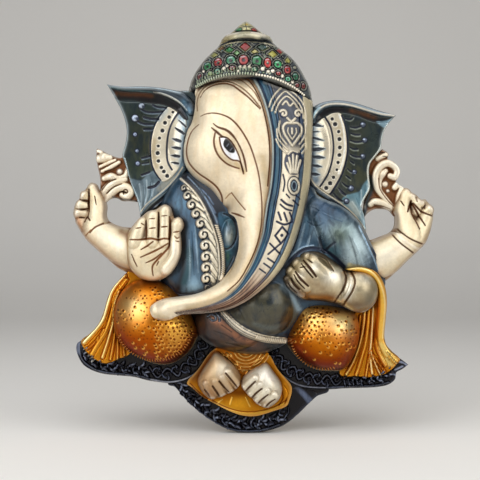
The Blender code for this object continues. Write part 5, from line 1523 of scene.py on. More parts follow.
def right_knee(f):
    """The knee under the resting hand."""
    f.level = dome(f.u, f.v, RIGHT_KNEE, RIGHT_KNEE_MIDDLE, 16.4, 57)
    # Painted shade, darker and redder, over the lower part and along the sides, and painted highlights across
    # the top
    f.mist([(290, 345), (306, 359), (326, 364), (346, 360)], 18, "#822800", 1.0)
    f.spot(350, 342, 8, 20, "#9A4408", 0.7)
    f.spot(341, 318, 14, 12, "#FFE9A8", 1.0)
    f.spot(313, 316, 12, 11, "#FFDC88", 0.95)
    f.spot(330, 306, 16, 4, "#E3A94E", 0.8)
    f.mist([(296, 316), (291, 330), (288, 342)], 4, "#C9781C", 0.7)
    punched(f, RIGHT_KNEE, lambda a, b: 0.9 if a < 320 and b < 338 else (0.35 if b < 345 else 0.15), 11, 4.7)
    ticks(f, RIGHT_RAYS_MIDDLE, (30, 31.8), range(62, 180, 5))
    f.stroke(
        [(286, 343), (292, 353), (301, 362.4), (312, 368.6), (326, 371), (342, 371)], 3.0, 1.2, "#EBD9B4",
        taper=(0.6, 1, 1, 1),
    )
    f.stroke(
        [(289, 341.6), (295, 351), (304, 359.6), (315, 365.6), (328, 367.8), (342, 367.6)], 1.2, -0.8,
        "#4A1E04", strength=0.8,
    )
    f.drop_edge(1.5, 1.5)


piece("left_knee", LEFT_KNEE, left_knee, 0.6, "gold_lacquer", "#DA8412")
piece("right_knee", RIGHT_KNEE, right_knee, 0.6, "gold_lacquer", "#DA8010")

LEFT_DRAPE = [
    (132, 267, CORNER), (118, 280.5), (111, 289), (106, 300), (102.5, 313), (97, 325), (89, 334),
    (80, 341.6), (84, 351), (92, 359), (104, 364.6), (118, 360), (130, 353), (126, 330), (126, 300),
    (144, 280),
]
RIGHT_DRAPE = [
    (343, 268.6), (354, 266.2), (364, 267), (373, 271), (380, 278.5), (385, 290), (387, 305), (386, 322),
    (385, 336), (387, 345), (393, 352), (401, 360), (396, 367), (388, 374), (374, 378), (358, 377.6),
    (340, 375), (346, 350), (350, 320), (362, 306), (370, 290), (366, 277), (354, 271),
]
LEFT_FOLDS = [
    ([(124, 276), (113, 290), (108, 304), (103, 320), (94, 332), (84, 343)], 5.5, LEMON),
    ([(126, 280), (116, 295), (112, 312), (106, 330), (98, 343), (91, 355)], 4.6, HONEY),
    ([(119, 292), (114.6, 306), (113, 322), (108, 340), (102, 358)], 3.8, LEMON),
    ([(116, 306), (115.4, 322), (114, 338), (110, 360)], 3.0, HONEY),
    ([(116.4, 328), (117.4, 342), (117, 360)], 3.0, "#D9902A"),
    ([(118.6, 338), (122.6, 346), (124, 356)], 2.6, "#C87A1C"),
    ([(103, 330), (95, 342), (86, 350)], 2.2, "#C8861A"),
]
RIGHT_FOLDS = [
    ([
        (346, 269), (356, 267.6), (366, 270), (374, 276), (380, 287), (383, 302), (382.6, 320), (382, 338),
        (386, 350), (396, 361),
    ], 6.4, "#F2C050"),
    ([(364, 274), (372, 282), (377, 294), (378, 312), (377, 332), (377.6, 348), (386, 366)], 4.0, "#C26F10"),
    ([(374, 306), (373.4, 322), (372, 340), (371, 356), (373, 374)], 3.6, "#F2DFA6"),
    ([(370, 310), (368.6, 326), (366, 344), (361, 362), (357, 376)], 3.8, HONEY),
    ([(365.6, 312), (364, 328), (360, 346), (354, 362), (347, 375)], 3.4, "#F0CC74"),
    ([(361, 316), (359, 334), (354, 352), (347, 368)], 2.6, "#C87A1C"),
    ([(371.6, 352), (376, 364), (381, 375)], 2.6, "#F2DFA6"),
    ([(370, 356), (368, 368), (366.6, 377)], 2.4, "#E0A840"),
    ([(374, 356), (381, 366), (386, 372)], 2.0, "#B8660C"),
    ([(387, 352), (393, 360), (397, 364)], 2.2, LEMON),
]


def folds(f, lines, base):
    """Cloth in long folds, with a painted highlight along each ridge and painted shade in a groove round it,
    with finer creases between.
    """
    f.level[:] = base
    # Painted shade in a groove round each fold
    for line, width, colour in lines:
        f.stroke(line, width + 1.8, -1.0, "#BE7A1C", strength=0.9)
    # Each fold raised, with a painted highlight along its ridge
    for line, width, colour in lines:
        f.stroke(line, width + 0.4, 3.0, "#EFAC38", strength=0.95)
        f.stroke(shifted(line, -0.16 * width, 0), width * 0.5, 0.3, colour, soft=1.2, strength=0.9)
        f.stroke(shifted(line, 0.32 * width, 0), 0.9, -0.5, "#B4700E", strength=0.8)


def left_drape(f):
    """Cloth that falls outwards from the left knee."""
    folds(f, LEFT_FOLDS, 15.6)
    f.spot(112, 345, 10, 14, "#A85A10", 0.35)
    # A painted highlight along the outer fold
    f.strokes([shifted(LEFT_FOLDS[0][0], -1.5, 0)], 1.2, 0, "#FBF0C4", strength=0.8)
    f.drop_edge(1.6, 1.4)


def right_drape(f):
    """Cloth that falls from the wrist, with a rolled edge."""
    folds(f, RIGHT_FOLDS, 16)
    f.level = blend(f.level, tube(f.u, f.v, [
        (345, 269.5, 50, 2), (358, 268.5, 46, 3.4), (370, 273, 41, 4.4), (378, 283, 33, 5),
        (381.5, 298, 26, 5), (381.5, 318, 19, 5), (381, 338, 16, 5), (388, 354, 14, 5),
    ]), 2)
    # A painted highlight along the rolled edge
    f.stroke([
        (348, 268.4), (358, 267.4), (368, 271), (376, 279), (382, 292), (384.4, 306), (384, 322), (383, 338),
    ], 1.6, 0, "#FBE6A4", strength=0.7)
    f.stroke([(352, 272), (362, 274), (370, 281), (375, 292)], 1.4, -0.8, "#8A4A10")
    f.fill([(379, 344), (384, 344), (391, 353), (398, 361), (392, 367), (384, 362)], "#F6DB84", 0.75, 3)
    f.drop_edge(1.6, 1.4)


piece("left_drape", LEFT_DRAPE, left_drape, 0.6, "gold_lacquer", "#D0881C")
piece("right_drape", RIGHT_DRAPE, right_drape, 0.6, "gold_lacquer", "#D0881C")

# The carved black hems

LEFT_HEM = [
    (81, 341, CORNER), (75.5, 344.5), (74.5, 351), (77, 359), (82, 366.5), (91, 372), (103, 375.5),
    (118, 377), (133, 378.5), (147, 382), (160, 384), (172, 385), (184, 382.5), (195, 376.5), (204, 367),
    (211, 355), (214, 345), (202, 330), (190, 325), (140, 340), (104, 345),
]
RIGHT_HEM = [
    (262, 350), (269, 361), (277, 371.5), (286, 380.5), (298, 387.5), (312, 390.5), (328, 391),
    (344, 390), (360, 389.4), (376, 388.8), (389, 386.5), (396.5, 381), (398, 374), (404, 370.5),
    (410, 366, CORNER), (401, 359.5), (380, 350), (330, 345), (286, 335),
]
LOWER_HEM = [
    (168, 382), (175, 389), (181, 396.5), (190, 406), (201, 415.5), (213, 424), (226, 431), (240, 434.3),
    (254, 434.4), (268, 433), (281, 429), (290, 423.5), (300, 415), (309, 406), (318, 398), (330, 391),
    (312, 370), (260, 340), (200, 345),
]
HEM_HIGHLIGHT_GREY, HEM_BLACK = "#8A93AA", "#120E12"


def carved(f, line, width, rise=2.2, taper=None, shine=0.75):
    """A raised piece of the hem's carving, black, with a painted slate highlight along its upper-left side.
    """
    f.stroke(line, width + 1.2, -0.9, "#040305", taper=taper)
    f.stroke(line, width, rise + 0.9, HEM_BLACK, taper=taper)
    # A painted highlight along the upper-left side of the carving
    lit = shifted(line, -0.14 * width, -0.18 * width)
    f.stroke(lit, width * 0.4, 0.2, HEM_HIGHLIGHT_GREY, taper=taper or (0.2, 1, 0.6, 1, 0.2), strength=shine)


def leaf(f, foot, bearing, length, width, bend, shine):
    """One carved leaf: a fat comma, with a painted slate highlight on its crown."""
    turns = [(bearing + bend * share, length * share) for share in (0, 0.35, 0.7, 1)]
    line = [(foot[0] + reach * math.cos(turn), foot[1] + reach * math.sin(turn)) for turn, reach in turns]
    carved(f, line, width, 3.0, (0.5, 1, 0.8, 0.2), shine)


def leaves(f, line, width, pitch, seed, bright=0.9):
    """Leaves carved along a hem, turning to each side by turns, uneven as a hand cuts them."""
    chance = np.random.default_rng(seed)
    spots = evenly(curve(line, False, 8), pitch)
    for i in range(len(spots) - 1):
        (a, b), (c, d) = spots[i][:2], spots[i + 1][:2]
        way, side = math.atan2(d - b, c - a), 1 if i % 2 else -1
        foot = (a - side * 0.26 * width * math.sin(way), b + side * 0.26 * width * math.cos(way))
        for turn, length, girth in ((2.6, 0.36, 3.6), (0.9, 0.5, 4.4), (0.1, 0.5, 4.0)):
            bearing = way - side * turn + chance.uniform(-0.4, 0.4)
            shine = bright * chance.choice((0.1, 0.35, 0.9, 1.0))
            leaf(
                f, foot, bearing, length * width * chance.uniform(0.8, 1.2), girth,
                side * chance.uniform(0.3, 1.2), shine,
            )


def vine(f, line, width, pitch, shine):
    """A vine carved along a hem: a waving stem, and a curled shoot in each bend of it."""
    spots = evenly(curve(line, False, 8), pitch)
    slope = np.gradient(spots, axis=0)
    way = np.arctan2(slope[:, 1], slope[:, 0])
    side = np.where(np.arange(len(spots)) % 2, 1, -1)
    across = np.column_stack([-np.sin(way), np.cos(way)])
    stem = spots + (side * 0.3 * width)[:, None] * across
    carved(f, [tuple(p) for p in stem], 2.4, 2.2, None, shine)
    for i in range(1, len(spots) - 1):
        heart = spots[i] - side[i] * 0.08 * width * across[i]
        f.spiral(heart, 0.32 * width, 1.0, way[i] + math.pi, 2.4, 2.6, HEM_BLACK, side[i])
        # A painted highlight along each curl
        f.spiral(heart - 0.4, 0.32 * width, 0.5, way[i] + math.pi, 0.8, 0.2, "#5F6880", side[i])
        tip = spots[i] - side[i] * 0.42 * width * across[i]
        leaf(f, tuple(tip), way[i] + 0.6 * side[i], 0.3 * width, 2.4, side[i], shine)


def left_hem(f):
    """The left hem: leaves, then a vine under the knee."""
    f.level[:] = 11.2
    leaves(f, [(83, 350), (90, 359.6), (102, 366.4), (120, 369.6), (136, 370.6), (150, 373)], 13, 5.2, 3)
    vine(
        f, [(148, 372.6), (160, 374.4), (173, 373.6), (185, 369), (195, 360), (202, 349), (206, 337)], 16,
        9.4, 0.45,
    )
    carved(f, [
        (78, 346), (78.6, 354), (83, 363), (93, 370), (106, 373.8), (124, 375.4), (140, 377.6), (152, 381.2),
        (168, 383.4), (182, 381.4), (194, 375), (204, 364.6), (211.6, 350),
    ], 2.4, 2.2, None, 0.5)
    f.stroke(
        [(150, 380.4), (166, 383), (181, 381.2), (194, 375), (204, 364.4)], 1.2, 0.2, "#B4B8C4", strength=0.7,
    )
    f.mist([(77.6, 345), (77, 353)], 2.6, "#7E879C", 0.8)
    for i in range(6):
        f.stroke(
            [(81 + 1.9 * i, 347.4 + 3.0 * i), (84.4 + 1.9 * i, 345.4 + 3.0 * i)], 1.3, 1.2, "#C6C2B4",
            strength=0.8,
        )
    f.drop_edge(2.4, 2.0)


def right_hem(f):
    """The right hem: a vine, then leaves and a fringe."""
    f.level[:] = 11.8
    vine(
        f, [(268, 346), (276, 357.6), (286, 367.6), (298, 375), (313, 380), (329, 381.2), (346, 382)], 16,
        9.6, 0.4,
    )
    leaves(f, [(344, 381.6), (358, 381.6), (372, 380.4), (385, 376.4), (396, 368)], 12, 5.2, 5)
    carved(f, [
        (264, 351), (272, 364), (281, 374.6), (291, 382.6), (303, 387.6), (320, 389), (338, 388.4),
        (356, 387.4), (376, 386.8), (390, 383.6),
    ], 2.2, 2.0, None, 0.5)
    f.stroke([(285, 378), (296, 384.6), (310, 388), (326, 388.8)], 1.0, 0.2, "#A4A8B6", strength=0.6)
    for i in range(5):
        carved(f, [(345 + 4.2 * i, 380.6 - 0.1 * i), (346.4 + 4.2 * i, 387)], 2.2, 1.6, None, 0.7)
    f.strokes([
        [(394, 366), (401, 362.6), (408, 366)], [(396, 371), (404, 367.4)], [(391, 375), (397, 376)],
        [(397, 361.6), (404, 364)],
    ], 1.8, 1.4, "#8A94AC")
    f.drop_edge(2.4, 2.0)


def lower_hem(f):
    """The lower hem: leaves round the feet, and one plain turned-over corner."""
    f.level[:] = 10.4
    leaves(f, [
        (179, 388), (191, 401), (206, 411.6), (222, 420.6), (240, 425.6), (258, 425.4), (274, 421),
        (286, 413.6),
    ], 14, 5.2, 21, 1.0)
    carved(f, [
        (173, 386.6), (186, 402), (200, 414), (215, 424), (231, 431), (248, 433), (264, 431.6), (280, 426.4),
    ], 2.2, 2.0, None, 0.5)
    for line in (
        [(288, 406), (289, 413), (284.6, 421)], [(256, 418), (251, 424), (254, 430)],
        [(226, 416), (222, 422), (227, 427)],
    ):
        carved(f, line, 2.4, 1.8, (0.3, 1, 0.4), 0.8)
    f.fill(
        [(292, 391), (302, 390), (318, 396), (305, 410), (296, 418), (289, 424), (287, 408), (291, 398)],
        "#0D0B10", 1, 1.2, 0.8,
    )
    f.fill([(296, 390), (300, 389.4), (307, 395), (313, 402), (310, 405.6), (304, 399)], "#5E6A84", 0.8, 2.6)
    f.drop_edge(2.4, 2.0)


piece("left_hem", LEFT_HEM, left_hem, 0.6, "black_lacquer", "#0E090B")
piece("right_hem", RIGHT_HEM, right_hem, 0.6, "black_lacquer", "#0E090B")
piece("lower_hem", LOWER_HEM, lower_hem, 0.68, "black_lacquer", "#0E090B")

# The cloth under the feet, and the feet

FOOT_CLOTH = [
    (187, 382.6), (198, 370), (214, 350), (240, 344), (266, 352), (278, 370), (290, 384), (292, 391),
    (289.4, 401),
    (286, 407), (273, 412), (257, 416.6), (243, 416), (229, 411.4), (214, 404), (202, 397), (192, 388),
]
LEFT_FOOT = [
    (216, 352), (226, 358.5), (234, 365.5), (240, 374), (240.4, 382), (235.6, 389), (226, 394), (216, 398.5),
    (208, 397.6), (201, 391), (197.6, 380), (203, 369), (210, 359),
]
RIGHT_FOOT = [
    (252, 370), (260, 365.6), (266.6, 363), (273, 371), (281, 382.5), (281.4, 392), (277, 401), (269, 407),
    (260, 405.4), (252, 398), (245, 391), (241, 383), (244, 376),
]


def foot_cloth(f):
    """The cloth under the feet, with rings of lace between the knees."""
    f.level = 17.6 + 1.2 * np.cos((f.u - 240) / 9.0)
    # Brighter gold below the feet, and painted shade under and between them
    f.spot(240, 404, 20, 7, "#E0A024", 0.85)
    f.spot(256, 402, 8, 6, "#9A5208", 0.7)
    f.spot(225, 398, 12, 5, "#A85A0C", 0.5)
    f.spot(240, 393, 14, 5, "#6E3508", 0.9)
    f.mist([(194, 378), (204, 366), (213, 352)], 5.0, "#7A4A26", 0.9)
    f.mist([(216, 403), (228, 409), (243, 413.4), (258, 413.4), (272, 409), (285, 403)], 1.6, "#F0C04A", 0.6)
    f.strokes(
        [[(212, 401), (226, 408), (242, 412), (258, 412), (274, 407.6), (286, 401)]], 1.3, -0.6, "#8A4408",
    )
    f.strokes([
        [(190, 384), (198, 392), (208, 400)], [(284, 386), (288, 394), (285, 404)],
        [(280, 388), (283, 398), (279, 406)],
    ], 1.4, -0.7, "#7A3C08")
    f.mist([(285, 385), (288, 396)], 2.4, "#D9901E", 0.8)
    f.strokes(
        [[(232, 398), (230, 405)], [(246, 398), (250, 407)], [(222, 400), (218, 404)]], 1.2, 0.5, "#F0C860",
        strength=0.7,
    )
    lace = [
        (216, 349), (236, 350), (254, 352), (266, 357), (258, 362), (250, 368), (244, 376), (239, 372),
        (233, 363), (224, 356),
    ]
    f.fill(lace, "#A8600F", 1, 1.2, 0.6)
    for k in range(6):
        reach = 4 + 4.2 * k
        arc = [
            (246 + reach * 0.95 * math.cos(a), 351 + reach * 0.78 * math.sin(a))
            for a in (0.25, 0.8, 1.35, 1.9, 2.45, 2.9)
        ]
        f.stroke(arc, 1.5, 1.3, "#EBBE6A")
    f.strokes([
        [(222, 354), (232, 362), (240, 374)], [(226, 353), (236, 362), (243, 372)],
        [(262, 358), (252, 366), (245, 376)],
    ], 1.4, 1.2, "#E6B058")


def toes(f, slots, nails):
    """Cuts between the toes, and their nails."""
    f.strokes(slots, 2.2, -1.6, "#5A3A20", taper=(0.9, 1, 0.7))
    for column, row in nails:
        f.dots([(column, row, 1.3)], 0.5, IVORY, "#A88A5C", 0.8)


def left_foot(f):
    """The left foot, its toes towards the middle."""
    u, v = f.u, f.v
    f.level = blend_all([dome(u, v, LEFT_FOOT, (219, 373), 20, 35), *(tube(u, v, path) for path in (
        [(228, 371, 33, 4.8), (237, 384, 28, 4.4)], [(222, 376, 33, 4.2), (230, 389, 28, 4)],
        [(215, 380, 32, 4.2), (222.4, 393, 27, 4)], [(207, 382, 30, 4.4), (212, 395.6, 25, 4)]))], 1.6)
    # Painted shade low on the foot and down its left side, and a painted highlight on its top
    f.spot(208, 392, 12, 7, "#9A6C42", 0.9)
    f.spot(226, 388, 12, 7, "#B89A74", 0.7)
    f.spot(203, 380, 6, 10, "#B08A60", 0.7)
    f.spot(224, 368, 9, 9, "#EDE5D0", 0.8)
    # Painted shade down the rounded edge
    f.edge_shade(2.4, "#7A5228", 0.7)
    toes(f, [
        [(205, 389), (208, 393), (210.6, 399)], [(213, 385), (216, 389.6), (219.6, 395.6)],
        [(219.6, 380), (224, 385.6), (229, 391)], [(226, 371.6), (231, 378), (237.6, 386.6)],
    ], [])
    f.drop_edge(1.8, 1.8)


def right_foot(f):
    """The right foot, its toes towards the middle."""
    u, v = f.u, f.v
    f.level = blend_all([dome(u, v, RIGHT_FOOT, (263, 384), 20, 37), *(tube(u, v, path) for path in (
        [(255, 377, 34, 4.4), (245.4, 386, 29, 4.2)], [(260, 383, 35, 4), (251, 393, 29, 3.8)],
        [(267, 389, 35, 4), (257, 399.6, 29, 3.8)], [(274, 393.6, 34, 4.4), (266, 403.4, 28, 3.8)]))], 1.6)
    # A painted highlight on the top of the foot, and painted shade along its lower and left edges
    f.spot(268, 374, 12, 9, "#F2EEE4", 0.85)
    f.spot(262, 402, 10, 4, "#A08058", 0.7)
    f.spot(246, 382, 4, 7, "#B5A688", 0.5)
    # Painted shade down the rounded edge
    f.edge_shade(2.0, "#7A5228", 0.7)
    toes(f, [
        [(245.6, 390), (249.6, 385.4), (255, 379.6)], [(251.6, 397), (256, 391.6), (261.6, 386.8)],
        [(258, 402), (262, 397.6), (267.6, 392.8)], [(265.6, 406), (269, 401.6), (274.6, 397.4)],
    ], [(260, 404.4)])
    f.drop_edge(1.8, 1.8)


piece("foot_cloth", FOOT_CLOTH, foot_cloth, 0.6, "gold_lacquer", "#BC7814")
piece("left_foot", LEFT_FOOT, left_foot, 0.55, "cream_lacquer", "#B8986E")
piece("right_foot", RIGHT_FOOT, right_foot, 0.55, "cream_lacquer", "#E2DAC4")

# Dark wash and painted shade in the recesses, and rubbed ridges with a painted highlight, worked out from the
# levels of the whole front

def blurred(grid, reach):
    """A map smoothed over a reach."""
    span = int(3 * reach)
    weights = np.exp(-((np.arange(-span, span + 1) / reach) ** 2) / 2)
    weights /= weights.sum()
    for axis in (0, 1):
        grid = np.apply_along_axis(
            lambda row: np.convolve(np.pad(row, span, "edge"), weights, "valid"), axis, grid,
        )
    return grid


def height_map():
    """The highest level of the whole front in each unit of the sheet."""
    grid = np.zeros((SHEET, SHEET))
    for _name, front, _finish in PIECES:
        np.maximum.at(grid, (front.v.astype(int), front.u.astype(int)), front.level)
    return grid


HEIGHTS = height_map()
CUT_REACH, HOLLOW_REACH = 1.6, 4.5
NEAR_BLUR, WIDE_BLUR = blurred(HEIGHTS, CUT_REACH), blurred(HEIGHTS, HOLLOW_REACH)


def sampled(grid, u, v):
    """A map's value at each place."""
    u, v = np.clip(u - 0.5, 0, SHEET - 2), np.clip(v - 0.5, 0, SHEET - 2)
    i, j = v.astype(int), u.astype(int)
    a, b = v - i, u - j
    top = grid[i, j] * (1 - b) + grid[i, j + 1] * b
    return top * (1 - a) + (grid[i + 1, j] * (1 - b) + grid[i + 1, j + 1] * b) * a


CUT_FULL, HOLLOW_FULL, RIDGE_RUBBED_AND_LIT = 3.5, 9, 1.6


def wash_shade_rub_and_sheen(front):
    """How much dark wash and painted shade a place gets, and how much it is rubbed and given a painted
    highlight, from 0 to 1.
    """
    sunk = sampled(NEAR_BLUR, front.u, front.v) - front.level
    deep = sampled(WIDE_BLUR, front.u, front.v) - front.level
    wash_and_shade = np.clip(sunk / CUT_FULL, 0, 1) * 0.7 + np.clip(deep / HOLLOW_FULL, 0, 1) * 0.5
    rub_and_sheen = np.clip(-sunk / RIDGE_RUBBED_AND_LIT, 0, 1)
    return np.clip(wash_and_shade, 0, 1), rub_and_sheen


# Meshes

BACK_LEVEL, HOLLOW_ROOM, LEAST_WALL = 1.5, 2.5, 1.2
BACK_MARGIN, BACK_CELL = 3.5, 4


def on_part(u, v, level):
    """The places in metres, in the casting's own frame."""
    return np.column_stack([(u - CENTRE_COLUMN) * UNIT, -level * LEVEL_UNIT, (HANG_ROW - v) * UNIT])


def sheet_faces(u, v, loop):
    """Triangles over places on the sheet, inside the loop that its first places make."""
    spots = [Vector((a, -b)) for a, b in zip(u, v)]
    edges = [(i, (i + 1) % loop) for i in range(loop)]
    _, _, faces, origins, _, _ = delaunay_2d_cdt(spots, edges, [], 1, 1e-6)
    back = np.array([o[0] if o else -1 for o in origins])
    faces = back[np.array([face for face in faces if len(face) == 3])]
    return faces[(faces >= 0).all(1)]


def walled(start, end, offset):
    """Triangles between edges of a front and the same edges of its back, numbered from offset on."""
    low_half = np.column_stack([start, start + offset, end + offset])
    return np.vstack([low_half, np.column_stack([start, end + offset, end])])


def back_of(u, v):
    """The level of a piece's back, clear of the hollows."""
    return np.maximum(BACK_LEVEL, hollow_level(u, v) + HOLLOW_ROOM)


def closed_mesh(name, front):
    """A closed piece: its carved front, a wall round its outline and a plainer back."""
    loop = front.loop
    level = np.maximum(front.level, back_of(front.u, front.v) + LEAST_WALL)
    faces = sheet_faces(front.u, front.v, loop)
    inner = (front.gap > BACK_MARGIN) & (np.arange(len(front.u)) >= loop)
    columns, rows = np.round(front.u / BACK_CELL).astype(int), np.round(front.v / BACK_CELL).astype(int)
    _, first = np.unique((columns * SHEET + rows)[inner], return_index=True)
    chosen = np.concatenate([np.arange(loop), np.nonzero(inner)[0][first]])
    bu, bv = front.u[chosen], front.v[chosen]
    back_faces = sheet_faces(bu, bv, loop)
    points = np.vstack([on_part(front.u, front.v, level), on_part(bu, bv, back_of(bu, bv))])
    offset = len(front.u)
    ring = np.arange(loop)
    after = (ring + 1) % loop
    area = np.sum(front.u[ring] * -front.v[after] - front.u[after] * -front.v[ring])
    wall = walled(ring, after, offset)
    wall = wall if area > 0 else wall[:, ::-1]
    triangles = np.vstack([faces, back_faces[:, ::-1] + offset, wall])
    mesh = bpy.data.meshes.new(name)
    mesh.vertices.add(len(points))
    mesh.vertices.foreach_set("co", points.ravel())
    mesh.loops.add(triangles.size)
    mesh.loops.foreach_set("vertex_index", triangles.ravel().astype(np.int32))
    mesh.polygons.add(len(triangles))
    mesh.polygons.foreach_set("loop_start", np.arange(0, triangles.size, 3, dtype=np.int32))
    mesh.update(calc_edges=True)
    wash_and_shade, rub_and_sheen = wash_shade_rub_and_sheen(front)
    paint = np.ones((len(points), 4))
    paint[:offset, :3] = front.paint
    paint[offset:, :3] = front.paint[chosen]
    mesh.attributes.new("paint", "FLOAT_COLOR", "POINT").data.foreach_set("color", paint.ravel())
    for label, values in (("wash_and_shade", wash_and_shade), ("rub_and_sheen", rub_and_sheen)):
        full = np.concatenate([values, values[chosen]])
        mesh.attributes.new(label, "FLOAT", "POINT").data.foreach_set("value", full)
    mesh.shade_smooth()
    mesh.set_sharp_from_angle(angle=math.radians(55))
    return mesh


# Finishes


def node(tree, kind, inputs=None, links=None, **settings):
    """Adds a node with its settings, its constants and its links."""
    made = tree.nodes.new(kind)
    for key, value in settings.items():
        setattr(made, key, value)
    for key, value in (inputs or {}).items():
        made.inputs[key].default_value = value
    for key, source in (links or {}).items():
        tree.links.new(source, made.inputs[key])
    return made


def lacquer(
    name, metallic, roughness, wash_and_shade_colour, wash_and_shade_strength, rub_and_sheen_colour, rub_and_sheen_strength, coat, cloud_colour,
    cloud_strength, pale_share=0.2,
):
    """Brushed lacquer over cast brass, with a dark wash and painted shade left in its recesses and its ridges
    rubbed bright with a painted highlight.
    """
    material = bpy.data.materials.new(name)
    material.use_nodes = True
    tree = material.node_tree
    shader = tree.nodes["Principled BSDF"]
    place = node(tree, "ShaderNodeTexCoord").outputs["Object"]
    paint = node(tree, "ShaderNodeAttribute", attribute_name="paint").outputs["Color"]
    wash_and_shade = node(tree, "ShaderNodeAttribute", attribute_name="wash_and_shade").outputs["Fac"]
    rub_and_sheen = node(tree, "ShaderNodeAttribute", attribute_name="rub_and_sheen").outputs["Fac"]
    cloud = node(
        tree, "ShaderNodeTexNoise", {"Scale": 1 / (14 * MM), "Detail": 5.0, "Roughness": 0.6},
        {"Vector": place},
    )
    fleck = node(
        tree, "ShaderNodeTexNoise", {"Scale": 1 / (1.6 * MM), "Detail": 4.0, "Roughness": 0.7},
        {"Vector": place},
    )
    grain = node(tree, "ShaderNodeTexNoise", {"Scale": 1 / (0.9 * MM), "Detail": 3.0}, {"Vector": place})
    strokes = node(tree, "ShaderNodeMapping", {"Scale": (1.0, 1.0, 0.4)}, {"Vector": place}).outputs["Vector"]
    brush = node(
        tree, "ShaderNodeTexNoise",
        {"Scale": 1 / (5 * MM), "Detail": 5.0, "Roughness": 0.6, "Distortion": 0.6}, {"Vector": strokes},
    )
    smear = node(
        tree, "ShaderNodeMapRange", {"From Min": 0.46, "From Max": 0.64, "To Max": cloud_strength},
        {"Value": brush.outputs["Fac"]},
    )
    shade = node(
        tree, "ShaderNodeMapRange", {"From Min": 0.3, "From Max": 0.7, "To Min": 0.86, "To Max": 1.08},
        {"Value": cloud.outputs["Fac"]},
    )
    speck = node(
        tree, "ShaderNodeMapRange", {"From Min": 0.35, "From Max": 0.65, "To Min": 0.93, "To Max": 1.05},
        {"Value": fleck.outputs["Fac"]},
    )
    both = node(
        tree, "ShaderNodeMath", {}, {0: shade.outputs["Result"], 1: speck.outputs["Result"]},
        operation="MULTIPLY",
    )
    toned = node(
        tree, "ShaderNodeMix", {"Factor": 1.0}, {"A": paint, "B": both.outputs[0]}, data_type="RGBA",
        blend_type="MULTIPLY",
    )
    bright = node(tree, "ShaderNodeRGBToBW", {}, {"Color": paint})
    open_to = node(
        tree, "ShaderNodeMapRange", {"From Min": 0.12, "From Max": 0.45, "To Min": 1.0, "To Max": pale_share},
        {"Value": bright.outputs["Val"]},
    )
    smeared = node(
        tree, "ShaderNodeMath", {}, {0: smear.outputs["Result"], 1: open_to.outputs["Result"]},
        operation="MULTIPLY",
    )
    toned = node(
        tree, "ShaderNodeMix", {"B": (*linear(cloud_colour), 1)},
        {"Factor": smeared.outputs[0], "A": toned.outputs["Result"]}, data_type="RGBA", blend_type="DARKEN",
    )
    patchy = node(tree, "ShaderNodeMapRange", {
        "From Min": 0.3, "From Max": 0.7, "To Min": 0.6 * wash_and_shade_strength, "To Max": wash_and_shade_strength,
    }, {"Value": cloud.outputs["Fac"]})
    wash_and_shade_amount = node(
        tree, "ShaderNodeMath", {}, {0: wash_and_shade, 1: patchy.outputs["Result"]}, operation="MULTIPLY",
        use_clamp=True,
    )
    washed_and_shaded = node(
        tree, "ShaderNodeMix", {"B": (*linear(wash_and_shade_colour), 1)},
        {"Factor": wash_and_shade_amount.outputs[0], "A": toned.outputs["Result"]}, data_type="RGBA", blend_type="DARKEN",
    )
    worn_and_lit = node(tree, "ShaderNodeMath", {1: rub_and_sheen_strength}, {0: rub_and_sheen}, operation="MULTIPLY", use_clamp=True)
    final = node(
        tree, "ShaderNodeMix", {"B": (*linear(rub_and_sheen_colour), 1)},
        {"Factor": worn_and_lit.outputs[0], "A": washed_and_shaded.outputs["Result"]}, data_type="RGBA", blend_type="LIGHTEN",
    )
    tree.links.new(final.outputs["Result"], shader.inputs["Base Color"])
    dull = node(tree, "ShaderNodeMapRange", {
        "From Min": 0.3, "From Max": 0.7, "To Min": roughness * 0.85, "To Max": roughness * 1.2,
    }, {"Value": cloud.outputs["Fac"]})
    duller = node(
        tree, "ShaderNodeMath", {1: 0.15}, {0: wash_and_shade_amount.outputs[0], 2: dull.outputs["Result"]},
        operation="MULTIPLY_ADD", use_clamp=True,
    )
    tree.links.new(duller.outputs[0], shader.inputs["Roughness"])
    bump = node(
        tree, "ShaderNodeBump", {"Strength": 0.15, "Distance": 0.05 * MM}, {"Height": grain.outputs["Fac"]},
    )
    tree.links.new(bump.outputs["Normal"], shader.inputs["Normal"])
    shader.inputs["Metallic"].default_value = metallic
    shader.inputs["Coat Weight"].default_value = coat
    shader.inputs["Coat Roughness"].default_value = 0.16
    return material


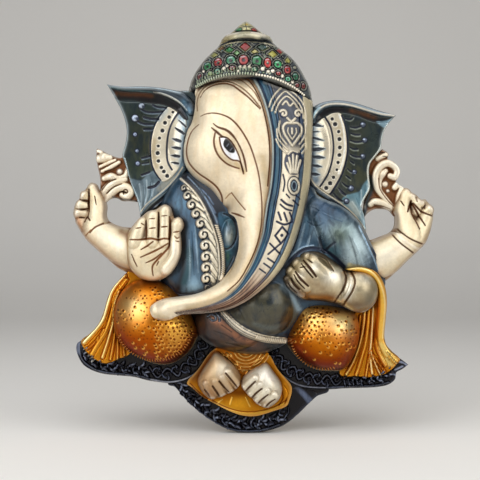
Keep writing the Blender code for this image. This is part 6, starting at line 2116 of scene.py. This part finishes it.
FINISHES = {
    # Pearly cream lacquer over brass, brown wash and painted shade in every cut: soft wide highlights, warm
    # recesses
    "cream_lacquer": lacquer(
        "antiqued_cream_lacquer", metallic=0.45, roughness=0.42, wash_and_shade_colour="#6E3F16",
        wash_and_shade_strength=1.0, rub_and_sheen_colour="#FBF5E6", rub_and_sheen_strength=0.3, coat=0.1, cloud_colour="#CDAA6C",
        cloud_strength=0.22, pale_share=1.0,
    ),
    # The same cream, thin over the brass, so that it goes bronze in shade and white where it catches light
    "bronze_lacquer": lacquer(
        "thin_cream_over_bronze", metallic=0.75, roughness=0.36, wash_and_shade_colour="#3E2814",
        wash_and_shade_strength=1.0, rub_and_sheen_colour="#F0EADB", rub_and_sheen_strength=0.3, coat=0.1, cloud_colour="#8A7350",
        cloud_strength=0.4, pale_share=1.0,
    ),
    # Cream and blue brushed side by side, ink wash and painted shade in the cuts
    "veil_lacquer": lacquer(
        "veil_lacquer", metallic=0.4, roughness=0.38, wash_and_shade_colour="#141C30", wash_and_shade_strength=0.95,
        rub_and_sheen_colour="#EFE9DC", rub_and_sheen_strength=0.2, coat=0.1, cloud_colour="#101C2C", cloud_strength=0.5,
        pale_share=0.1,
    ),
    # Pearl blue and olive lacquer, black wash and painted shade in the recesses: a deep satin, brushed on in
    # streaks
    "blue_lacquer": lacquer(
        "pearl_blue_lacquer", metallic=0.5, roughness=0.30, wash_and_shade_colour="#080B14", wash_and_shade_strength=1.0,
        rub_and_sheen_colour="#C2CFD4", rub_and_sheen_strength=0.35, coat=0.25, cloud_colour="#0E2230", cloud_strength=0.7,
        pale_share=0.08,
    ),
    # Transparent orange lacquer over gold: a painted honey highlight on the crown of each form, and rust wash
    # and painted shade below
    "gold_lacquer": lacquer(
        "amber_over_gold", metallic=0.95, roughness=0.34, wash_and_shade_colour="#5A2202", wash_and_shade_strength=0.6,
        rub_and_sheen_colour="#FFDC90", rub_and_sheen_strength=0.25, coat=0.0, cloud_colour="#A85206", cloud_strength=0.3,
        pale_share=0.2,
    ),
    # Black lacquer rubbed back on its ridges, with a painted slate highlight there
    "black_lacquer": lacquer(
        "rubbed_black_lacquer", metallic=0.0, roughness=0.15, wash_and_shade_colour="#040305", wash_and_shade_strength=1.0,
        rub_and_sheen_colour="#5E6880", rub_and_sheen_strength=0.15, coat=0.0, cloud_colour="#0C090B", cloud_strength=0.5,
    ),
    # Dark ground with glassy red and green stones in pale settings
    "crown_lacquer": lacquer(
        "jewelled_crown_lacquer", metallic=0.3, roughness=0.28, wash_and_shade_colour="#0A0F18", wash_and_shade_strength=1.0,
        rub_and_sheen_colour="#D8D6C6", rub_and_sheen_strength=0.25, coat=0.4, cloud_colour="#26323A", cloud_strength=0.4,
    ),
}
SLOTS = {
    "cream_lacquer": "painted_brass", "veil_lacquer": "painted_brass", "bronze_lacquer": "pale_brass",
    "bare_brass": "pale_brass",
}
# Where no highlight falls on it, the black stays black
black_shader = FINISHES["black_lacquer"].node_tree.nodes["Principled BSDF"]
black_shader.inputs["Specular IOR Level"].default_value = 0.22


def hand_in(name, mesh, finish):
    """Puts a mesh in the scene as a piece of the casting, with its finish."""
    material, slot = FINISHES[finish], SLOTS.get(finish, finish)
    obj = bpy.data.objects.new(name, mesh)
    bpy.context.scene.collection.objects.link(obj)
    obj.data.materials.append(material)
    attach(obj, "root")
    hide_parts("ganesha_relief")


for name, front, finish in PIECES:
    hand_in(name, closed_mesh(name, front), finish)

# Beads and ribs strung along paths


def stringing(material):
    """The tree that strings beads or ribs along a path, and the keys of its sizes."""
    tree = bpy.data.node_groups.new("stringing", "GeometryNodeTree")
    tree.interface.new_socket("Path", in_out="INPUT", socket_type="NodeSocketGeometry")
    keys = {}
    for label in ("Pitch", "Along", "Across", "Lean"):
        keys[label] = tree.interface.new_socket(
            label, in_out="INPUT", socket_type="NodeSocketFloat",
        ).identifier
    tree.interface.new_socket("Strung", in_out="OUTPUT", socket_type="NodeSocketGeometry")
    given = node(tree, "NodeGroupInput").outputs
    path = node(tree, "GeometryNodeMeshToCurve", {}, {"Mesh": given["Path"]})
    spaced = node(
        tree, "GeometryNodeResampleCurve", {}, {"Curve": path.outputs[0], "Length": given["Pitch"]},
        mode="LENGTH",
    )
    bead = node(tree, "GeometryNodeMeshUVSphere", {"Segments": 8, "Rings": 6, "Radius": 1.0})
    tangent = node(tree, "GeometryNodeInputTangent")
    along = node(tree, "FunctionNodeAlignRotationToVector", {}, {"Vector": tangent.outputs[0]}, axis="X")
    lean = node(tree, "FunctionNodeAxisAngleToRotation", {"Axis": (0, 1, 0)}, {"Angle": given["Lean"]})
    turned = node(
        tree, "FunctionNodeRotateRotation", {}, {0: along.outputs[0], 1: lean.outputs[0]},
        rotation_space="GLOBAL",
    )
    size = node(
        tree, "ShaderNodeCombineXYZ", {}, {"X": given["Along"], "Y": given["Across"], "Z": given["Across"]},
    )
    strung = node(tree, "GeometryNodeInstanceOnPoints", {}, {
        "Points": spaced.outputs[0], "Instance": bead.outputs["Mesh"], "Rotation": turned.outputs[0],
        "Scale": size.outputs[0],
    })
    real = node(tree, "GeometryNodeRealizeInstances", {}, {0: strung.outputs[0]})
    finished = node(tree, "GeometryNodeSetMaterial", {"Material": material}, {"Geometry": real.outputs[0]})
    node(tree, "NodeGroupOutput", {}, {0: finished.outputs[0]})
    return tree, keys


def strung(name, line, lift, sizes, lean, paint, finish):
    """Beads or ribs along a path, half sunk in the surface. Its sizes are pitch, along and across it."""
    line = evenly(curve(line, False, 8), 0.5)
    level = sampled(HEIGHTS, line[:, 0], line[:, 1])
    level = np.convolve(np.pad(level, 6, "edge"), np.ones(13) / 13, "valid") + lift
    path = bpy.data.meshes.new(name + "_path")
    path.from_pydata(
        on_part(line[:, 0], line[:, 1], level).tolist(), [(i, i + 1) for i in range(len(line) - 1)], [],
    )
    helper = bpy.data.objects.new(name + "_path", path)
    bpy.context.scene.collection.objects.link(helper)
    tree, keys = stringing(FINISHES[finish])
    modifier = helper.modifiers.new("stringing", "NODES")
    modifier.node_group = tree
    for label, value in zip(("Pitch", "Along", "Across"), sizes):
        modifier[keys[label]] = value * UNIT
    modifier[keys["Lean"]] = lean
    bpy.context.view_layer.update()
    mesh = bpy.data.meshes.new_from_object(helper.evaluated_get(bpy.context.evaluated_depsgraph_get()))
    bpy.data.objects.remove(helper)
    mesh.materials.clear()
    spots = np.zeros(3 * len(mesh.vertices))
    mesh.vertices.foreach_get("co", spots)
    spots = spots.reshape(-1, 3)
    u, v = spots[:, 0] / UNIT + CENTRE_COLUMN, HANG_ROW - spots[:, 2] / UNIT
    # Dark wash and painted shade where the bead sinks into the surface, rubbed and painted highlight where it
    # stands clear
    sunk = sampled(HEIGHTS, u, v) + 0.5 + spots[:, 1] / LEVEL_UNIT
    colours = np.tile([*linear(paint), 1.0], (len(spots), 1))
    mesh.attributes.new("paint", "FLOAT_COLOR", "POINT").data.foreach_set("color", colours.ravel())
    mesh.attributes.new("wash_and_shade", "FLOAT", "POINT").data.foreach_set("value", np.clip(sunk, 0, 1))
    mesh.attributes.new("rub_and_sheen", "FLOAT", "POINT").data.foreach_set("value", np.clip(-sunk, 0, 1))
    mesh.shade_smooth()
    hand_in(name, mesh, finish)


def arc(centre, reach, first, last):
    """An arc of an ellipse, between two bearings in degrees."""
    return [
        (centre[0] + reach[0] * math.cos(a), centre[1] + reach[1] * math.sin(a))
        for a in np.radians(np.linspace(first, last, 9))
    ]


RIM_TICKS = [(197, 88.4), (208, 84), (220, 80.6), (232, 78.8), (243, 78.2), (253, 78.8)]
RIM_BEADS = [(256, 79.4), (270, 81.8), (284, 86.6), (294, 91.4), (303, 97)]
strung("crown_rim_ticks", RIM_TICKS, 0.6, (2.6, 0.8, 1.7), 0.1, "#A9B69A", "crown_lacquer")
strung("crown_rim_beads", RIM_BEADS, 0.6, (2.7, 1.25, 1.25), 0.0, IVORY, "crown_lacquer")
strung("collar_cord", TWIST, 0.6, (1.9, 0.75, 2.2), 0.55, "#E2D8C2", "cream_lacquer")
strung("belt_ribs", BELT[4:], 0.2, (1.9, 0.7, 2.5), 0.15, "#E2D6BC", "cream_lacquer")
strung(
    "left_knee_rays", arc(LEFT_KNEE_MIDDLE, (38, 36.6), 22, 158), -0.2, (2.7, 0.55, 2.2), 0.0, "#B05006",
    "gold_lacquer",
)
strung(
    "right_knee_rays", arc(RIGHT_RAYS_MIDDLE, (31.4, 33.2), 70, 172), -0.2, (2.9, 0.55, 2.2), 0.0, "#B05006",
    "gold_lacquer",
)

# The casting behind: bare brass, flat on the wall, hollowed behind the masses, with its hanging bar

OUTLINES = [
    CROWN, HEAD, FACE, LEFT_EAR, RIGHT_EAR, TORSO, LEFT_ARM, RIGHT_ARM, CONCH_EDGE, LOTUS_EDGE, PALM_EDGE,
    RESTING_EDGE, LEFT_KNEE, RIGHT_KNEE, LEFT_DRAPE, RIGHT_DRAPE, LEFT_HEM, RIGHT_HEM, LOWER_HEM, FOOT_CLOTH,
    [(312, 186), (338, 194), (352, 205), (356, 220), (334, 212), (314, 202)],
    [(168, 184), (152, 200), (141, 213), (146, 226), (162, 216), (172, 196)],
]
PLATE_LEVEL, PLATE_WALL = 4.0, 3.4
PLATE_SPACING, HOLLOW_MARGIN = 2.0, 1.15
HOLLOW_RINGS, HOLLOW_SPOKES, LEAST_SPOKES = 12, 72, 6
BAR_ROW, BAR_RADIUS, BAR_SETBACK = 122.0, 2.5 * MM, 1.5 * MM


def rim_of(faces):
    """The edges that only one of some triangles has, in that triangle's direction."""
    ends = np.concatenate([faces[:, [0, 1]], faces[:, [1, 2]], faces[:, [2, 0]]])
    known = set(map(tuple, ends.tolist()))
    return np.array(sorted(pair for pair in known if (pair[1], pair[0]) not in known))


def casting_back():
    """The plate behind the relief. Triangles that meet the rest in one point only are left out."""
    spots, edges = [], []
    for outline in OUTLINES:
        loop = evenly(curve(outline, True, 8), PLATE_SPACING * FINE, True)
        clear = np.ones(len(loop), bool)
        for column, row, across, down, _deep in HOLLOWS:
            clear &= ((loop[:, 0] - column) / across) ** 2 + ((loop[:, 1] - row) / down) ** 2 > HOLLOW_MARGIN
        number = len(spots) + np.cumsum(clear) - 1
        spots += [Vector((a, -b)) for a, b in loop[clear]]
        after = np.roll(np.arange(len(loop)), -1)
        edges += [
            (int(number[i]), int(number[after[i]])) for i in range(len(loop)) if clear[i] and clear[after[i]]
        ]
    for column, row, across, down, _deep in HOLLOWS:
        for k in range(1, HOLLOW_RINGS + 1):
            share = math.sin(k / HOLLOW_RINGS * math.pi / 2)
            count = max(int(HOLLOW_SPOKES * share), LEAST_SPOKES)
            first = len(spots)
            for a in np.arange(count) * 2 * math.pi / count:
                spots.append(
                    Vector((column + across * share * math.cos(a), -row - down * share * math.sin(a)))
                )
        edges += [(first + i, first + (i + 1) % count) for i in range(count)]
    made, _, faces, _, _, _ = delaunay_2d_cdt(spots, edges, [], 0, 1e-4)
    made = np.array([tuple(p) for p in made])
    faces = np.array([face for face in faces if len(face) == 3])
    middles = made[faces].mean(1)
    keep = np.zeros(len(faces), bool)
    for outline in OUTLINES:
        keep |= inside(middles[:, 0], -middles[:, 1], curve(outline, True, 8))
    border = rim_of(faces[keep])
    starts, times = np.unique(border[:, 0], return_counts=True)
    while times.max() > 1:
        keep &= ~np.isin(faces, starts[times > 1]).any(1)
        border = rim_of(faces[keep])
        starts, times = np.unique(border[:, 0], return_counts=True)
    faces = faces[keep]
    u, v = made[:, 0], -made[:, 1]
    deep = hollow_level(u, v)
    back = on_part(u, v, deep)
    front = on_part(u, v, np.maximum(PLATE_LEVEL, deep + PLATE_WALL))
    used = np.unique(faces)
    count = len(made)
    wall = walled(border[:, 0], border[:, 1], count)
    triangles = np.vstack([faces, faces[:, ::-1] + count, wall])
    renumber = np.full(2 * count, -1)
    both = np.concatenate([used, used + count])
    renumber[both] = np.arange(len(both))
    mesh = bpy.data.meshes.new("casting_back")
    mesh.from_pydata(np.vstack([front, back])[both].tolist(), [], renumber[triangles].tolist())
    mesh.shade_smooth()
    mesh.set_sharp_from_angle(angle=math.radians(40))
    return mesh


def bare_brass():
    """Bare sand-cast brass, dulled with handling: warm yellow, brown tarnish in clouds, a sandy skin."""
    material = bpy.data.materials.new("bare_cast_brass")
    material.use_nodes = True
    tree = material.node_tree
    shader = tree.nodes["Principled BSDF"]
    place = node(tree, "ShaderNodeTexCoord").outputs["Object"]
    cloud = node(
        tree, "ShaderNodeTexNoise", {"Scale": 1 / (22 * MM), "Detail": 6.0, "Roughness": 0.65},
        {"Vector": place},
    )
    sand = node(
        tree, "ShaderNodeTexNoise", {"Scale": 1 / (0.9 * MM), "Detail": 4.0, "Roughness": 0.7},
        {"Vector": place},
    )
    ramp = node(tree, "ShaderNodeValToRGB", {}, {"Fac": cloud.outputs["Fac"]})
    ramp.color_ramp.elements[0].position, ramp.color_ramp.elements[0].color = 0.32, (*linear("#6B5228"), 1)
    ramp.color_ramp.elements[1].position, ramp.color_ramp.elements[1].color = 0.68, (*linear("#C8A355"), 1)
    tree.links.new(ramp.outputs["Color"], shader.inputs["Base Color"])
    rough = node(
        tree, "ShaderNodeMapRange", {"From Min": 0.3, "From Max": 0.7, "To Min": 0.5, "To Max": 0.34},
        {"Value": cloud.outputs["Fac"]},
    )
    tree.links.new(rough.outputs["Result"], shader.inputs["Roughness"])
    bump = node(
        tree, "ShaderNodeBump", {"Strength": 0.5, "Distance": 0.12 * MM}, {"Height": sand.outputs["Fac"]},
    )
    tree.links.new(bump.outputs["Normal"], shader.inputs["Normal"])
    shader.inputs["Metallic"].default_value = 1.0
    return material


FINISHES["bare_brass"] = bare_brass()
hand_in("casting_back", casting_back(), "bare_brass")


def hanging_bar():
    """The bar cast across the hollow behind the head, by which it hangs on a nail."""
    column, row, across, down, _deep = HOLLOWS[0]
    reach = (across * math.sqrt(1 - ((BAR_ROW - row) / down) ** 2) + 1.5) * UNIT
    around, along = 20, 9
    points, faces = [], []
    for j in range(along):
        x = (column - CENTRE_COLUMN) * UNIT + reach * (2 * j / (along - 1) - 1)
        for i in range(around):
            a = 2 * math.pi * i / around
            y = BAR_RADIUS * math.cos(a) - BAR_RADIUS - BAR_SETBACK
            points.append((x, y, (HANG_ROW - BAR_ROW) * UNIT + BAR_RADIUS * math.sin(a)))
    for j in range(along - 1):
        for i in range(around):
            k = (i + 1) % around
            faces.append((j * around + i, j * around + k, (j + 1) * around + k, (j + 1) * around + i))
    faces.append(tuple(range(around))[::-1])
    faces.append(tuple((along - 1) * around + i for i in range(around)))
    mesh = bpy.data.meshes.new("hanging_bar")
    mesh.from_pydata(points, [], faces)
    mesh.shade_smooth()
    mesh.set_sharp_from_angle(angle=math.radians(50))
    return mesh


hand_in("hanging_bar", hanging_bar(), "bare_brass")

# Floor, backdrop, lights and camera


FLOOR_HALF_WIDTH = 2.5


def studio():
    """A floor that sweeps up into a backdrop."""
    points, faces = [], []
    profile = [
        (-1.2, 0.0), (0.0, 0.0), (1.0, 0.0), (1.2, 0.02), (1.35, 0.08), (1.45, 0.2), (1.5, 0.4), (1.5, 2.2),
    ]
    for y, z in profile:
        points += [(-FLOOR_HALF_WIDTH, y, low[2] + z), (FLOOR_HALF_WIDTH, y, low[2] + z)]
    for i in range(len(profile) - 1):
        faces.append((2 * i, 2 * i + 1, 2 * i + 3, 2 * i + 2))
    mesh = bpy.data.meshes.new("floor_and_backdrop")
    mesh.from_pydata(points, [], faces)
    mesh.shade_smooth()
    obj = bpy.data.objects.new("floor_and_backdrop", mesh)
    bpy.context.scene.collection.objects.link(obj)
    material = bpy.data.materials.new("pale_paper")
    material.use_nodes = True
    shader = material.node_tree.nodes["Principled BSDF"]
    shader.inputs["Base Color"].default_value = (*linear("#F4F2EE"), 1)
    shader.inputs["Roughness"].default_value = 0.9
    obj.data.materials.append(material)


studio()


middle = (low[2] + high[2]) / 2


def softbox(name, place, size, watts, colour):
    """A soft light aimed at the middle of the casting, and placed from there."""
    data = bpy.data.lights.new(name, "AREA")
    data.shape = "RECTANGLE"
    data.size, data.size_y = size
    data.energy = watts
    data.color = linear(colour)
    obj = bpy.data.objects.new(name, data)
    obj.location = (place[0], place[1], middle + place[2])
    obj.rotation_euler = (Vector((0, 0, middle)) - obj.location).to_track_quat("-Z", "Y").to_euler()
    bpy.context.scene.collection.objects.link(obj)


for name, place, size, watts, colour in (
    ("left_softbox", (-0.8, -0.8, 0.3), (0.8, 1.0), 6.2, "#FFFFFF"),
    ("right_softbox", (0.85, -0.7, 0.35), (0.7, 0.9), 4.8, "#FFFDF8"),
    ("front_softbox", (-0.15, -1.1, 0.8), (1.2, 0.8), 6.0, "#FFFFFF"),
    ("top_softbox", (0.0, -0.3, 0.9), (1.2, 0.5), 3.4, "#FFFFFF"),
):
    softbox(name, place, size, watts, colour)
world = bpy.data.worlds.new("soft_room")
world.use_nodes = True
world.node_tree.nodes["Background"].inputs["Color"].default_value = (*linear("#F2F2F4"), 1)
world.node_tree.nodes["Background"].inputs["Strength"].default_value = 0.2
bpy.context.scene.world = world

LENS, SENSOR = 85.0, 36.0
MEAN_LEVEL = 22
camera_data = bpy.data.cameras.new("camera")
camera_data.lens, camera_data.sensor_width = LENS, SENSOR
camera = bpy.data.objects.new("camera", camera_data)
bpy.context.scene.collection.objects.link(camera)
distance = SHEET * UNIT * LENS / SENSOR + MEAN_LEVEL * LEVEL_UNIT
camera.location = ((SHEET / 2 - CENTRE_COLUMN) * UNIT, -distance, (HANG_ROW - SHEET / 2) * UNIT)
camera.rotation_euler = (math.pi / 2, 0, 0)
bpy.context.scene.camera = camera
bpy.context.scene.view_settings.view_transform = "Standard"
